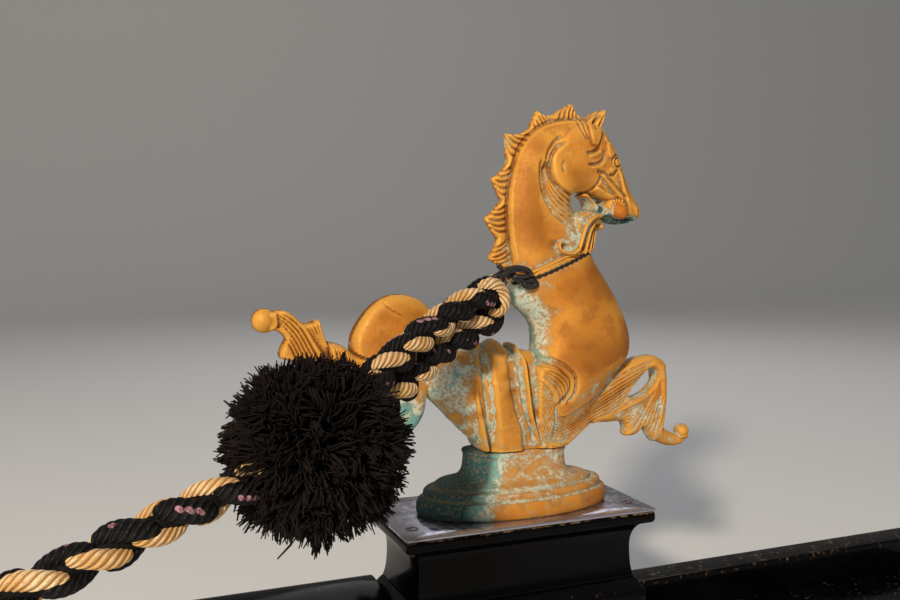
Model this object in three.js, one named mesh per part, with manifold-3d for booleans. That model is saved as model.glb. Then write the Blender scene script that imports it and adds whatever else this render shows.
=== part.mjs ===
// A brass seahorse from the gunwale of a black rowing boat, on its lacquered block and a length of rail.
// Its braided rope and pom-pom are lashed to its neck. The horse lifts out of the block on its tang.
// Millimetres. X runs forward along the rail, Y outboard and Z up, from the middle of the rail's underside.

import * as THREE from "three";
import { mergeVertices } from "three/addons/utils/BufferGeometryUtils.js";
import Module from "manifold-3d";

const wasm = await Module();
wasm.setup();

const GAP = 0.3; // between pieces that touch

// The rail and the block
const RAIL_LENGTH = 840;
const BOARD = { depth: 96, height: 18 };
const AFT_CREST = 70;
const FORE_CREST = 44;
const PLATE = { length: 182, depth: 91, top: 120, thick: 2 };
const CAP = { thick: 8, round: 2.5 };
const WAIST = { inset: 12.5, topInset: 5, drop: 28 }; // narrowest this far below the plate's top
const BLOCK_FOOT = { inset: 4, shoulder: 62, top: 70, topInset: 10 };

// The horse, from the top of the plate up
const HORSE_X = 4;
const BRASS_FOOT = { length: 142, depth: 70, height: 41 };
const COLUMN = { from: 18, full: 24, squareness: 3 }; // the foot's oval turns squarer between these heights
const TANG = { length: 26, depth: 14, deep: 52, clear: 0.6 };
const NECK_HALF_THICK = 17;
const COLLAR = { x: 33, z: 171, tilt: 13, across: 30, ridge: 3.2 };
const CREST_HALF_THICK = 4.5;
const LEG_HALF_THICK = 11;
const CHEEK = { x: 47, z: 235, along: 20, across: 17 };
const EAR_Y = 5;
const BIT_BALL = { x: 80.5, y: 11.5, z: 204, r: 5.5 };
const HOOF_BALL = { x: 148, z: 41, r: 6 };
const TAIL_BALL = { x: -167, z: 134, r: 8 };

// The rope, the pom-pom and the lashing
const ROPE_D = 19;
const EYE = { across: 42, d: 17, away: 29.9 };
const POMPOM_D = 96;
const LASHING = { d: 3.6, across: 66, thick: 37 };
const KNOT_D = 7;

// Colours
const BRASS = { color: 0xb87a2e, roughness: 0.35, metalness: 0.9 };
const PATINA = { color: 0x7fa596, roughness: 0.6, metalness: 0.5 };
const LACQUER = { color: 0x0b0a0d, roughness: 0.18, metalness: 0 };
const STEEL = { color: 0xa9a6b4, roughness: 0.3, metalness: 1 };
const ROPE = { color: 0x9c7c45, roughness: 0.9, metalness: 0 };
const WOOL = { color: 0x17110f, roughness: 1, metalness: 0 };

const model = new THREE.Group();
const ornament = new THREE.Group();
ornament.position.z = PLATE.top;
model.add(ornament);

function add(name, geometry, look, group = model) {
  const mesh = new THREE.Mesh(geometry, new THREE.MeshStandardMaterial(look));
  mesh.name = name;
  group.add(mesh);
}

// Joining and cutting

function solid(geometry) {
  const bare = geometry.clone();
  bare.deleteAttribute("normal");
  bare.deleteAttribute("uv");
  const merged = mergeVertices(bare, 1e-4);
  return new wasm.Manifold(
    new wasm.Mesh({
      numProp: 3,
      vertProperties: new Float32Array(merged.attributes.position.array),
      triVerts: new Uint32Array(merged.index.array),
    }),
  );
}

function geometryOf(manifold) {
  const mesh = manifold.getMesh();
  const geometry = new THREE.BufferGeometry();
  geometry.setAttribute("position", new THREE.BufferAttribute(new Float32Array(mesh.vertProperties), 3));
  geometry.setIndex(Array.from(mesh.triVerts));
  return geometry;
}

function join(...parts) {
  return parts.reduce((whole, part) => whole.add(part));
}

// Shapes

function box(x0, x1, y0, y1, z0, z1) {
  const geometry = new THREE.BoxGeometry(x1 - x0, y1 - y0, z1 - z0);
  return geometry.translate((x0 + x1) / 2, (y0 + y1) / 2, (z0 + z1) / 2);
}

// An outline in the (along, up) plane, carried across Y from -half to half with rounded rims.
function slice(shape, half, rim = 0, curveSegments = 5) {
  const geometry = new THREE.ExtrudeGeometry(shape, {
    depth: 2 * (half - rim),
    curveSegments,
    bevelEnabled: rim > 0,
    bevelThickness: rim,
    bevelSize: rim,
    bevelOffset: -rim,
    bevelSegments: 2,
  });
  return geometry.translate(0, 0, rim - half).rotateX(Math.PI / 2);
}

// A rounded limb along a curve in the X-Z plane. Each row holds x, z, half-height and half-thickness.
function limb(rows, { sides = 12, steps = 14, y = 0, grow = 0 } = {}) {
  const spine = new THREE.CatmullRomCurve3(rows.map(([x, z]) => new THREE.Vector3(x, y, z)));
  const girth = new THREE.CatmullRomCurve3(rows.map(([, , high, wide]) => new THREE.Vector3(high, wide, 0)));
  const geometry = new THREE.SphereGeometry(1, sides, steps);
  const position = geometry.attributes.position;
  const across = new THREE.Vector3();
  const point = new THREE.Vector3();
  for (let i = 0; i < position.count; i++) {
    const pole = THREE.MathUtils.clamp(position.getY(i), -1, 1);
    const t = Math.acos(pole) / Math.PI;
    const ring = Math.max(Math.hypot(position.getX(i), position.getZ(i)), 1e-9);
    const fullness = Math.sqrt(Math.min(1, 7 * t * (1 - t)));
    const tangent = spine.getTangent(t);
    const half = girth.getPoint(t);
    const round = t > 1e-6 && t < 1 - 1e-6 ? fullness / ring : 0;
    across.set(-tangent.z, 0, tangent.x);
    point.copy(spine.getPoint(t)).addScaledVector(tangent, 2 * grow * pole * pole * -pole);
    point.addScaledVector(across, position.getX(i) * round * (half.x + grow));
    point.y -= position.getZ(i) * round * (half.y + grow);
    position.setXYZ(i, point.x, point.y, point.z);
  }
  return geometry;
}

// A rope or cord as a tube through its route's points.
function tube(points, diameter, steps, sides = 10) {
  const section = new THREE.Shape().absarc(0, 0, diameter / 2, 0, 2 * Math.PI);
  const path = new THREE.CatmullRomCurve3(points.map((p) => new THREE.Vector3(...p)));
  return new THREE.ExtrudeGeometry(section, { steps, curveSegments: sides / 2, extrudePath: path });
}

function ball(x, y, z, r, sides = 12) {
  return new THREE.SphereGeometry(r, sides, Math.round(sides / 2)).translate(x, y, z);
}

// The half of space above a plane through (x, z) that rises by the tilt towards +X, as a large box.
function above(x, z, tilt, lift = 0) {
  const [length, depth, height] = [600, 300, 400];
  const block = new THREE.BoxGeometry(length, depth, height).translate(0, 0, height / 2 + lift);
  return solid(block.rotateY(THREE.MathUtils.degToRad(-tilt)).translate(x, 0, z));
}

// The rail: a flat board with a rounded rail aft of the block and a low square one forward of it

const boardTop = BOARD.height;
const railHalf = RAIL_LENGTH / 2;
add("rail_board", box(-railHalf, railHalf, -BOARD.depth / 2, BOARD.depth / 2, 0, boardTop), LACQUER);

// A rail's outline is drawn in (Y, Z) and carried along X.
function rail(shape, x0, x1) {
  const length = { depth: x1 - x0, bevelEnabled: false, curveSegments: 5 };
  const geometry = new THREE.ExtrudeGeometry(shape, length);
  return geometry.rotateX(Math.PI / 2).rotateZ(Math.PI / 2).translate(x0, 0, 0);
}

const blockHalf = PLATE.length / 2;
const footHalf = blockHalf - BLOCK_FOOT.inset;
const railFrom = footHalf + GAP;
const railBase = boardTop + GAP;

const aftOutline = new THREE.Shape();
aftOutline.moveTo(-34, railBase);
aftOutline.lineTo(44, railBase);
aftOutline.lineTo(44, AFT_CREST - 8);
aftOutline.quadraticCurveTo(42, AFT_CREST, 32, AFT_CREST);
aftOutline.quadraticCurveTo(-10, AFT_CREST - 2, -34, AFT_CREST - 34);
add("rail_aft", rail(aftOutline, -railHalf, -railFrom), LACQUER);

const foreOutline = new THREE.Shape();
foreOutline.moveTo(12, railBase);
foreOutline.lineTo(38, railBase);
foreOutline.lineTo(38, FORE_CREST - 5);
foreOutline.quadraticCurveTo(38, FORE_CREST, 32, FORE_CREST);
foreOutline.lineTo(16, FORE_CREST);
foreOutline.quadraticCurveTo(12, FORE_CREST, 12, FORE_CREST - 4);
add("rail_fore", rail(foreOutline, railFrom, railHalf), LACQUER);

// The block: a foot, a hollow-moulded waist and a bull-nosed cap under a thin steel plate

const socket = solid(
  box(
    HORSE_X - TANG.length / 2 - TANG.clear,
    HORSE_X + TANG.length / 2 + TANG.clear,
    -TANG.depth / 2 - TANG.clear,
    TANG.depth / 2 + TANG.clear,
    PLATE.top - TANG.deep - 3,
    PLATE.top + 10,
  ),
);

// A moulding of the block is the same outline drawn across X and across Y, where they meet at mitres.
function moulding(outline) {
  const along = slice(outline(PLATE.length / 2), PLATE.depth);
  const turned = slice(outline(PLATE.depth / 2), PLATE.length).rotateZ(Math.PI / 2);
  return solid(along).intersect(solid(turned));
}

const capTop = PLATE.top - PLATE.thick - GAP;
const capBase = capTop - CAP.thick;

function footOutline(half) {
  const wide = half - BLOCK_FOOT.inset;
  const narrow = half - BLOCK_FOOT.topInset;
  const shape = new THREE.Shape();
  shape.moveTo(-wide, railBase);
  shape.lineTo(wide, railBase);
  shape.lineTo(wide, BLOCK_FOOT.shoulder);
  shape.lineTo(narrow, BLOCK_FOOT.top);
  shape.lineTo(-narrow, BLOCK_FOOT.top);
  shape.lineTo(-wide, BLOCK_FOOT.shoulder);
  return shape;
}

function waistOutline(half) {
  const base = BLOCK_FOOT.top + GAP;
  const top = capBase - GAP;
  const waist = half - WAIST.inset;
  const waistHeight = PLATE.top - WAIST.drop;
  const shape = new THREE.Shape();
  shape.moveTo(-(half - BLOCK_FOOT.topInset), base);
  shape.lineTo(half - BLOCK_FOOT.topInset, base);
  shape.quadraticCurveTo(waist, base + 6, waist, waistHeight);
  shape.quadraticCurveTo(waist, top - 4, half - WAIST.topInset, top);
  shape.lineTo(-(half - WAIST.topInset), top);
  shape.quadraticCurveTo(-waist, top - 4, -waist, waistHeight);
  shape.quadraticCurveTo(-waist, base + 6, -(half - BLOCK_FOOT.topInset), base);
  return shape;
}

function capOutline(half) {
  const r = CAP.round;
  const shape = new THREE.Shape();
  shape.moveTo(-(half - r - 1), capBase);
  shape.lineTo(half - r - 1, capBase);
  shape.quadraticCurveTo(half, capBase, half, capBase + r + 1);
  shape.lineTo(half, capTop - r);
  shape.quadraticCurveTo(half, capTop, half - r, capTop);
  shape.lineTo(-(half - r), capTop);
  shape.quadraticCurveTo(-half, capTop, -half, capTop - r);
  shape.lineTo(-half, capBase + r + 1);
  shape.quadraticCurveTo(-half, capBase, -(half - r - 1), capBase);
  return shape;
}

add("block_foot", geometryOf(moulding(footOutline).subtract(socket)), LACQUER);
add("block_waist", geometryOf(moulding(waistOutline).subtract(socket)), LACQUER);
add("block_cap", geometryOf(moulding(capOutline).subtract(socket)), LACQUER);

const plate = box(
  -PLATE.length / 2,
  PLATE.length / 2,
  -PLATE.depth / 2,
  PLATE.depth / 2,
  PLATE.top - PLATE.thick,
  PLATE.top,
);
add("top_plate", geometryOf(solid(plate).subtract(socket)), STEEL);

// The brass foot: an oval base in two steps that sweeps up to a squarer column, with the tang under it.
// Its outline is drawn for a round foot of radius 1, and then stretched.

const footProfile = new THREE.Shape();
footProfile.moveTo(0, GAP);
footProfile.lineTo(0.99, GAP);
footProfile.quadraticCurveTo(1.02, 6, 0.98, 11);
footProfile.lineTo(0.92, 12);
footProfile.quadraticCurveTo(0.93, 15, 0.9, 17);
footProfile.lineTo(0.82, 18);
footProfile.quadraticCurveTo(0.8, 20, 0.76, 20.5);
footProfile.quadraticCurveTo(0.53, 21.5, 0.505, 28);
footProfile.lineTo(0.505, BRASS_FOOT.height);
footProfile.lineTo(0, BRASS_FOOT.height);
const footGeometry = new THREE.LatheGeometry(footProfile.getPoints(2), 32).rotateX(Math.PI / 2);
const footPlace = footGeometry.attributes.position;
for (let i = 0; i < footPlace.count; i++) {
  const z = footPlace.getZ(i);
  const angle = Math.atan2(footPlace.getY(i), footPlace.getX(i));
  const power = THREE.MathUtils.mapLinear(z, COLUMN.from, COLUMN.full, 2, COLUMN.squareness);
  const n = THREE.MathUtils.clamp(power, 2, COLUMN.squareness);
  const reach = (Math.abs(Math.cos(angle)) ** n + Math.abs(Math.sin(angle)) ** n) ** (-1 / n);
  const x = (footPlace.getX(i) * reach * BRASS_FOOT.length) / 2;
  const y = (footPlace.getY(i) * reach * BRASS_FOOT.depth) / 2;
  footPlace.setXYZ(i, HORSE_X + x, y, z);
}
add("brass_foot", footGeometry, BRASS, ornament);

add(
  "tang",
  box(
    HORSE_X - TANG.length / 2,
    HORSE_X + TANG.length / 2,
    -TANG.depth / 2,
    TANG.depth / 2,
    -TANG.deep,
    0,
  ),
  BRASS,
  ornament,
);

// The black lashing lies in a groove round the neck, just under the collar

function lashingRing(diameter) {
  return new THREE.TorusGeometry(LASHING.across / 2, diameter / 2, 5, 24)
    .scale(1, LASHING.thick / LASHING.across, 1)
    .rotateY(THREE.MathUtils.degToRad(-COLLAR.tilt))
    .translate(COLLAR.x - 2, 0, COLLAR.z - 5);
}

const lashingGroove = solid(lashingRing(LASHING.d + 2 * GAP));
add("neck_lashing", lashingRing(LASHING.d), WOOL, ornament);

// The horse's body: chest and barrel, with the folds of the fish's body falling to the foot

const chestRows = [
  [31, 186, 28, 18],
  [34, 162, 34, 20],
  [40, 144, 41, 23],
  [51, 117, 41, 24],
  [55, 97, 37, 24],
  [50, 74, 34, 24],
  [38, 54, 30, 22],
  [22, 38, 26, 19],
];
const rumpRows = [
  [-52, 82, 10, 9],
  [-40, 84, 22, 15],
  [-20, 80, 34, 20],
  [2, 76, 38, 23],
  [22, 74, 36, 23],
  [36, 66, 26, 20],
];
// Each fold is x at its top, height of its top, x at its foot and half-width.
const foldRows = [
  [-33, 96, -20, 8],
  [-15, 116, -12, 10],
  [2, 112, 4, 9],
  [16, 104, 20, 7],
];
const folds = foldRows.map(([x, z, footX, half]) => {
  const middle = [(x + footX) / 2, (z + 40) / 2, half * 1.1, 26];
  return solid(limb([[x, z, half * 0.6, 12], middle, [footX, 40, half * 0.8, 18]], { sides: 10, steps: 10 }));
});
const floorOfHorse = above(0, BRASS_FOOT.height + GAP, 0);
const aboveCollar = above(COLLAR.x, COLLAR.z, COLLAR.tilt);
const aboveCollarGap = above(COLLAR.x, COLLAR.z, COLLAR.tilt, -GAP);
const torso = join(solid(limb(chestRows)), solid(limb(rumpRows)), ...folds)
  .intersect(floorOfHorse)
  .subtract(aboveCollarGap)
  .subtract(lashingGroove);

// The neck above the collar, with the collar's ridge

const neckRows = [
  [62, 252, 8, 9],
  [46, 258, 12, 12],
  [26, 242, 19, 14],
  [18, 217, 21, 15],
  [22, 195, 26, NECK_HALF_THICK],
  [30, 172, 31, NECK_HALF_THICK + 1],
  [35, 154, 33, NECK_HALF_THICK + 2],
];

// A piece's own solid, or the room that its neighbours leave round it where it is grown
function neckSolid(grow = 0) {
  const ridge = new THREE.TorusGeometry(COLLAR.across, COLLAR.ridge + grow, 8, 24)
    .scale(1, (NECK_HALF_THICK + 2) / COLLAR.across, 1)
    .rotateY(THREE.MathUtils.degToRad(-COLLAR.tilt))
    .translate(COLLAR.x, 0, COLLAR.z + 6);
  return join(solid(limb(neckRows, { grow })), solid(ridge));
}

const neck = neckSolid().intersect(aboveCollar).subtract(lashingGroove);
const neckRoom = neckSolid(GAP).intersect(aboveCollarGap);

// The head: a long skull with a round cheek on each side, and the lower jaw

const headRows = [
  [60, 262, 9, 8],
  [61, 250, 17, 13],
  [66, 238, 19, 14],
  [79, 221, 14, 11],
  [89, 209, 10, 9],
  [98, 200, 7, 7],
];
const jawRows = [
  [66, 212, 4.5, 8],
  [74, 207, 6, 10],
  [83, 202, 6, 9],
  [92, 198, 3, 6],
];

function headSolid(grow = 0) {
  const along = CHEEK.along + grow;
  const cheeks = new THREE.SphereGeometry(1, 14, 10).scale(along, CHEEK.across + grow, along);
  return join(
    solid(limb(headRows, { grow })),
    solid(limb(jawRows, { sides: 10, steps: 8, grow })),
    solid(cheeks.translate(CHEEK.x, 0, CHEEK.z)),
  );
}

const head = headSolid().subtract(neckRoom);
const headRoom = headSolid(GAP);

// The chin's leaf scroll, from the mouth down to the collar

const chinRows = [
  [76, 195, 4, 6],
  [67, 196, 5, 7],
  [58, 191, 7, 8],
  [53, 184, 8, 9],
  [54, 178, 6, 7],
];
const chin = solid(limb(chinRows, { sides: 10, steps: 12 }))
  .subtract(neckRoom)
  .subtract(headRoom)
  .subtract(lashingGroove);

// Two ears stand at the top of the head

const earRows = [
  [56, 254, 5, 3.5],
  [62, 264, 6, 3.5],
  [71, 274, 2.5, 2],
];

function earSolid(y, grow = 0) {
  return solid(limb(earRows, { sides: 8, steps: 8, y, grow }));
}

// The mane's crest: a thin comb of pointed lobes round the back of the neck, let in between the ears

const crestTips = [
  [47, 280],
  [19, 274],
  [-5, 257],
  [-14, 227],
  [-20, 199],
  [-17, 174],
];
const crestValleys = [
  [32, 270],
  [14, 261],
  [-4, 237],
  [-8, 209],
  [-11, 186],
];
const crestOutline = new THREE.Shape();
crestOutline.moveTo(60, 262);
crestTips.forEach(([x, z], i) => {
  crestOutline.lineTo(x, z);
  if (i < crestValleys.length) {
    crestOutline.lineTo(...crestValleys[i]);
  }
});
crestOutline.lineTo(-9, 168);
crestOutline.lineTo(6, 168);
crestOutline.lineTo(8, 215);
crestOutline.quadraticCurveTo(14, 248, 46, 260);
const crest = solid(slice(crestOutline, CREST_HALF_THICK, 1.5))
  .subtract(neckRoom)
  .subtract(headRoom)
  .subtract(earSolid(-EAR_Y, GAP))
  .subtract(earSolid(EAR_Y, GAP))
  .subtract(lashingGroove);

add("torso", geometryOf(torso), BRASS, ornament);
add("neck", geometryOf(neck), BRASS, ornament);
add("head", geometryOf(head), BRASS, ornament);
add("chin_scroll", geometryOf(chin), PATINA, ornament);
add("mane_crest", geometryOf(crest), BRASS, ornament);

// Each side of the head has its ear, and the ball that closes the bit at the corner of the mouth

function addSide(side, y) {
  const ear = earSolid(y * EAR_Y).subtract(headRoom).subtract(neckRoom);
  add(`ear_${side}`, geometryOf(ear), BRASS, ornament);
  const bitBall = solid(ball(BIT_BALL.x, y * BIT_BALL.y, BIT_BALL.z, BIT_BALL.r)).subtract(headRoom);
  add(`bit_ball_${side}`, geometryOf(bitBall), BRASS, ornament);
}

addSide("left", 1);
addSide("right", -1);

// The forelegs, cast as one: thigh, knee, webbed shin and a hoof that ends in a curl with a ball

const thighRows = [
  [34, 60, 13, LEG_HALF_THICK + 3],
  [61, 70, 12, LEG_HALF_THICK + 1],
  [85, 81, 10, LEG_HALF_THICK],
  [110, 92, 9, LEG_HALF_THICK - 1],
  [122, 95, 7, LEG_HALF_THICK - 2],
];
const shinRows = [
  [119, 96, 7, 8],
  [125, 82, 7, 9],
  [120, 60, 11, 9],
  [117, 42, 9, 7],
];
const websRows = [
  [50, 52, 10, LEG_HALF_THICK + 1],
  [70, 60, 9, LEG_HALF_THICK - 1],
  [88, 67, 6, 8],
  [106, 78, 4, 6],
  [118, 74, 6, 6],
];
const hoofRows = [
  [117, 40, 6, 6],
  [130, 35, 5, 5],
  [141, 33, 4.5, 5],
  [147, 38, 4, 4.5],
];
const websOutline = new THREE.Shape();
websOutline.moveTo(122, 76);
websOutline.quadraticCurveTo(98, 68, 84, 62);
websOutline.quadraticCurveTo(74, 58, 66, 53);
websOutline.quadraticCurveTo(82, 51, 94, 53);
websOutline.quadraticCurveTo(96, 46, 94, 40);
websOutline.quadraticCurveTo(104, 40, 110, 42);
websOutline.quadraticCurveTo(116, 38, 121, 35);
websOutline.quadraticCurveTo(128, 55, 122, 76);
const torsoRoom = join(
  solid(limb(chestRows, { grow: GAP })),
  solid(limb(rumpRows, { grow: GAP })),
);
const forelegs = join(
  solid(limb(thighRows, { sides: 10, steps: 10 })),
  solid(limb(shinRows, { sides: 10, steps: 9 })),
  solid(limb(websRows, { sides: 8, steps: 9 })),
  solid(limb(hoofRows, { sides: 8, steps: 7 })),
  solid(ball(HOOF_BALL.x, 0, HOOF_BALL.z, HOOF_BALL.r)),
  solid(slice(websOutline, 6, 1.5)),
).subtract(torsoRoom);
add("forelegs", geometryOf(forelegs), BRASS, ornament);

// The tail: a thick coil, a ribbed fin over it and a fluke with a ball at its end

const coilRows = [
  [-34, 78, 15, 14],
  [-52, 96, 17, 16],
  [-66, 117, 17, 17],
  [-82, 130, 17, 17],
  [-101, 122, 17, 17],
  [-110, 102, 16, 17],
  [-104, 78, 15, 16],
  [-86, 64, 14, 14],
  [-70, 70, 12, 12],
];
const coil = solid(limb(coilRows, { steps: 22 })).subtract(torsoRoom);
const coilRoom = solid(limb(coilRows, { steps: 22, grow: GAP }));
const finRows = [
  [-98, 92, 9, 14],
  [-113, 103, 12, 13],
  [-128, 113, 9, 10],
  [-143, 124, 8, 8],
  [-156, 134, 7, 7],
  [-166, 134, 6, 6],
];
const flukeOutline = new THREE.Shape();
flukeOutline.moveTo(-118, 112);
flukeOutline.quadraticCurveTo(-126, 118, -131, 119);
flukeOutline.lineTo(-134, 133);
flukeOutline.quadraticCurveTo(-146, 132, -156, 141);
flukeOutline.quadraticCurveTo(-164, 142, -165, 136);
flukeOutline.quadraticCurveTo(-156, 130, -150, 124);
flukeOutline.quadraticCurveTo(-156, 120, -158, 112);
flukeOutline.quadraticCurveTo(-140, 108, -128, 100);
const fluke = join(
  solid(limb(finRows, { sides: 10, steps: 12 })),
  solid(ball(TAIL_BALL.x, 0, TAIL_BALL.z, TAIL_BALL.r)),
  solid(slice(flukeOutline, 6, 1.5)),
).subtract(coilRoom);
add("tail_coil", geometryOf(coil), BRASS, ornament);
add("tail_fluke", geometryOf(fluke), BRASS, ornament);

// The rope: from the neck out through the pom-pom and on, inboard and down, to its eye

const ropeRoute = [
  [-34, -36, 151],
  [-48, -42, 146],
  [-66, -51, 138.5],
  [-85, -61.5, 130],
  [-103, -73, 121],
  [-120, -86, 112.5],
  [-137, -100, 103],
  [-153, -114, 93.5],
  [-170, -126, 84.5],
  [-190, -136, 77],
  [-212, -143.5, 70.5],
  [-235, -149.5, 63.5],
  [-257, -154.5, 56.5],
  [-278, -159, 49.5],
  [-300, -164, 42.5],
  [-322, -169.5, 36],
  [-340, -174, 31.5],
];
add("rope", tube(ropeRoute, ROPE_D, 26), ROPE, ornament);
const ropeRoom = solid(tube(ropeRoute, ROPE_D + 2 * GAP, 26));

// The rope's returning leg lies below the first and ends under the pom-pom. It turns back at the neck.

const LEG_APART = ROPE_D + 0.8;
const ropeAhead = new THREE.Vector3(-0.76, -0.4, -0.36).normalize();
const legSide = new THREE.Vector3(0.42, 0.3, -0.86);
legSide.addScaledVector(ropeAhead, -legSide.dot(ropeAhead)).normalize();
const turnFrom = new THREE.Vector3(...ropeRoute[0]).addScaledVector(ropeAhead, -GAP);
const turnPoints = [];
for (let i = 0; i <= 6; i++) {
  const angle = (Math.PI * i) / 6;
  const p = turnFrom.clone();
  p.addScaledVector(legSide, (LEG_APART / 2) * (1 - Math.cos(angle)));
  p.addScaledVector(ropeAhead, (-LEG_APART / 2) * Math.sin(angle));
  turnPoints.push(p.toArray());
}
const legPoints = ropeRoute.slice(1, 7).map((p) => {
  return new THREE.Vector3(...p).addScaledVector(legSide, LEG_APART).toArray();
});
const bightRoute = [...turnPoints, ...legPoints];
const bight = solid(tube(bightRoute, ROPE_D, 30)).subtract(ropeRoom);
add("rope_bight", geometryOf(bight), ROPE, ornament);
const bightRoom = solid(tube(bightRoute, ROPE_D + 2 * GAP, 30));

// The pom-pom is threaded on the rope, and the rope's solids run through its middle

const pompomAt = [-168, -128, 84];
const pompom = solid(new THREE.SphereGeometry(POMPOM_D / 2, 18, 12).translate(...pompomAt))
  .subtract(ropeRoom)
  .subtract(bightRoom);
add("pompom", geometryOf(pompom), WOOL, ornament);

// The knot is a short fat twist of the same black cord between the turn and the ring

const knotRoute = [
  [-26, -29, 156],
  [-18, -22, 159],
  [-10, -15.5, 159.5],
  [3, -9, 158],
];
const knot = solid(tube(knotRoute, KNOT_D, 6, 8))
  .subtract(lashingGroove)
  .subtract(bightRoom)
  .subtract(ropeRoom)
  .subtract(neckRoom)
  .subtract(torsoRoom);
add("lashing_knot", geometryOf(knot), WOOL, ornament);

// The eye at the rope's far end, in line with the rope and upright

const ropeEnd = new THREE.Vector3(...ropeRoute[ropeRoute.length - 1]);
const eyeAhead = new THREE.Vector3(-0.94, -0.24, -0.23).normalize();
const eyeCentre = ropeEnd.clone().addScaledVector(eyeAhead, EYE.away);
const eyeRing = new THREE.TorusGeometry(EYE.across / 2, EYE.d / 2, 8, 16)
  .rotateX(Math.PI / 2)
  .rotateY(-Math.asin(-eyeAhead.z))
  .rotateZ(Math.atan2(-eyeAhead.y, -eyeAhead.x))
  .translate(...eyeCentre.toArray());
add("rope_eye", eyeRing, ROPE, ornament);

export default model;
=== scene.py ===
import math

import bmesh
import bpy
import numpy as np
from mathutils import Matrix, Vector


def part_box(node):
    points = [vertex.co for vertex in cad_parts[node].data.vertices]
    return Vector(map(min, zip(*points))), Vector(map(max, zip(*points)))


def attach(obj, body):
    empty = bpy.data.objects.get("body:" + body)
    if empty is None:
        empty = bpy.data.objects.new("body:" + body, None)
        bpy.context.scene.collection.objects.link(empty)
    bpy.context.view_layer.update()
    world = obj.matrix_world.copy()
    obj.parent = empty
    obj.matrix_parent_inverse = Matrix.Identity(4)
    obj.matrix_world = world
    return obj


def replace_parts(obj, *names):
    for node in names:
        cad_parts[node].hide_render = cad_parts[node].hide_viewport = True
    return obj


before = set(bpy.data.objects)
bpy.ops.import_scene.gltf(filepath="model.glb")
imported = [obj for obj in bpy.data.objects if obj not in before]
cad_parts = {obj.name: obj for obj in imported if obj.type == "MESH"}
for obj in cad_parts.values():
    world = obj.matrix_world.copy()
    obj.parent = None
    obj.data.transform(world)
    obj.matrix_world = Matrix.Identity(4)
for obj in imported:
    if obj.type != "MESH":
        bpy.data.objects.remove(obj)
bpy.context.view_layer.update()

# The camera
# It looks along the rail from inboard and a little aft, level with the horse's chest.
# Its place and lens were fitted to the four corners of the steel plate.
camera_data = bpy.data.cameras.new("camera")
camera_data.lens = 37.744
camera_data.sensor_width = 36
camera_data.clip_start = 0.01
camera = bpy.data.objects.new("camera", camera_data)
camera.location = (-0.281, -0.5826, 0.3107)
camera.rotation_euler = (math.radians(85.803), 0, math.radians(-22.158))
bpy.context.scene.collection.objects.link(camera)
bpy.context.scene.camera = camera

# The braided rope
# Two gold and two black laid strands are plaited into a round rope, so that each colour shows as two columns
# of bulges. It is doubled at the neck: the short leg ends inside the pom-pom, the long leg runs to the eye.
MM = 0.001
PLATE_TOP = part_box("top_plate")[1].z
ROPE_D = 19.0
STRAND_PITCH = 54.0
STRAND_OUT = 5.9
STRAND_ASIDE = 3.0
STRAND_DIVE = 0.3
STRAND_HALF = ((3.8, 5.0), (4.3, 6.6))
STRAND_NARROWEST = 0.35
STRAND_SIDES = 48
STRAND_STEP = 1.0
YARN_PITCH = 3.4
YARNS = 8
YARN_RIDGE = 0.24
TRACER = {"radius": 2.1, "apart": 4.0}
CORE = {"radius": 5.4, "sides": 16}
TWIST_PITCH = 213.0
GOLD_UPPERMOST = 12.0
GOLD_LOWERMOST = 30.0
TURNS_BEGUN = (-0.1, -0.3)
LEG_APART = ROPE_D - 1.2
# Millimetres above the plate, from the neck to the eye
rope_route = [
    (-34, -36, 151),
    (-48, -42, 146),
    (-66, -51, 138.5),
    (-85, -61.5, 130),
    (-103, -73, 121),
    (-120, -86, 112.5),
    (-137, -100, 103),
    (-153, -114, 93.5),
    (-170, -126, 84.5),
    (-190, -136, 77),
    (-212, -143.5, 70.5),
    (-235, -149.5, 63.5),
    (-257, -154.5, 56.5),
    (-278, -159, 49.5),
    (-300, -164, 42.5),
    (-322, -169.5, 36),
    (-340, -174, 31.5),
]


def unit(v):
    """The vector, or each row of vectors, at length 1."""
    v = np.asarray(v, float)
    return v / np.linalg.norm(v, axis=-1, keepdims=True)


def spline(points, closed=False, per=8):
    """A Catmull-Rom curve through rows of any number of columns, as a dense array."""
    p = np.asarray(points, float)
    ends = (p[-1:], p[:2]) if closed else (2 * p[:1] - p[1:2], 2 * p[-1:] - p[-2:-1])
    p = np.vstack([ends[0], p, ends[1]])
    t = np.linspace(0, 1, per, endpoint=False)[:, None]
    runs = []
    for a, b, c, d in zip(p[:-3], p[1:-2], p[2:-1], p[3:]):
        bend = (2 * a - 5 * b + 4 * c - d) * t**2 + (3 * b - a - 3 * c + d) * t**3
        runs.append(b + (c - a) * t / 2 + bend / 2)
    return np.vstack(runs if closed else [*runs, p[-2:-1]])


def evenly(path, step):
    """The same path with points a step apart, and each point's distance along it."""
    along = np.r_[0, np.cumsum(np.linalg.norm(np.diff(path, axis=0), axis=1))]
    at = np.linspace(0, along[-1], max(2, round(along[-1] / step) + 1))
    return np.stack([np.interp(at, along, column) for column in path.T], 1), at


def frames_along(path):
    """Two directions across the path at each of its points, which turn as little as they can."""
    ahead = unit(np.gradient(path, axis=0))
    side = unit(np.cross(ahead[0], (0.1, 0.2, 1)))
    sides = []
    for t in ahead:
        side = unit(side - t * (side @ t))
        sides.append(side)
    sides = np.array(sides)
    return sides, np.cross(ahead, sides)


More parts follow.
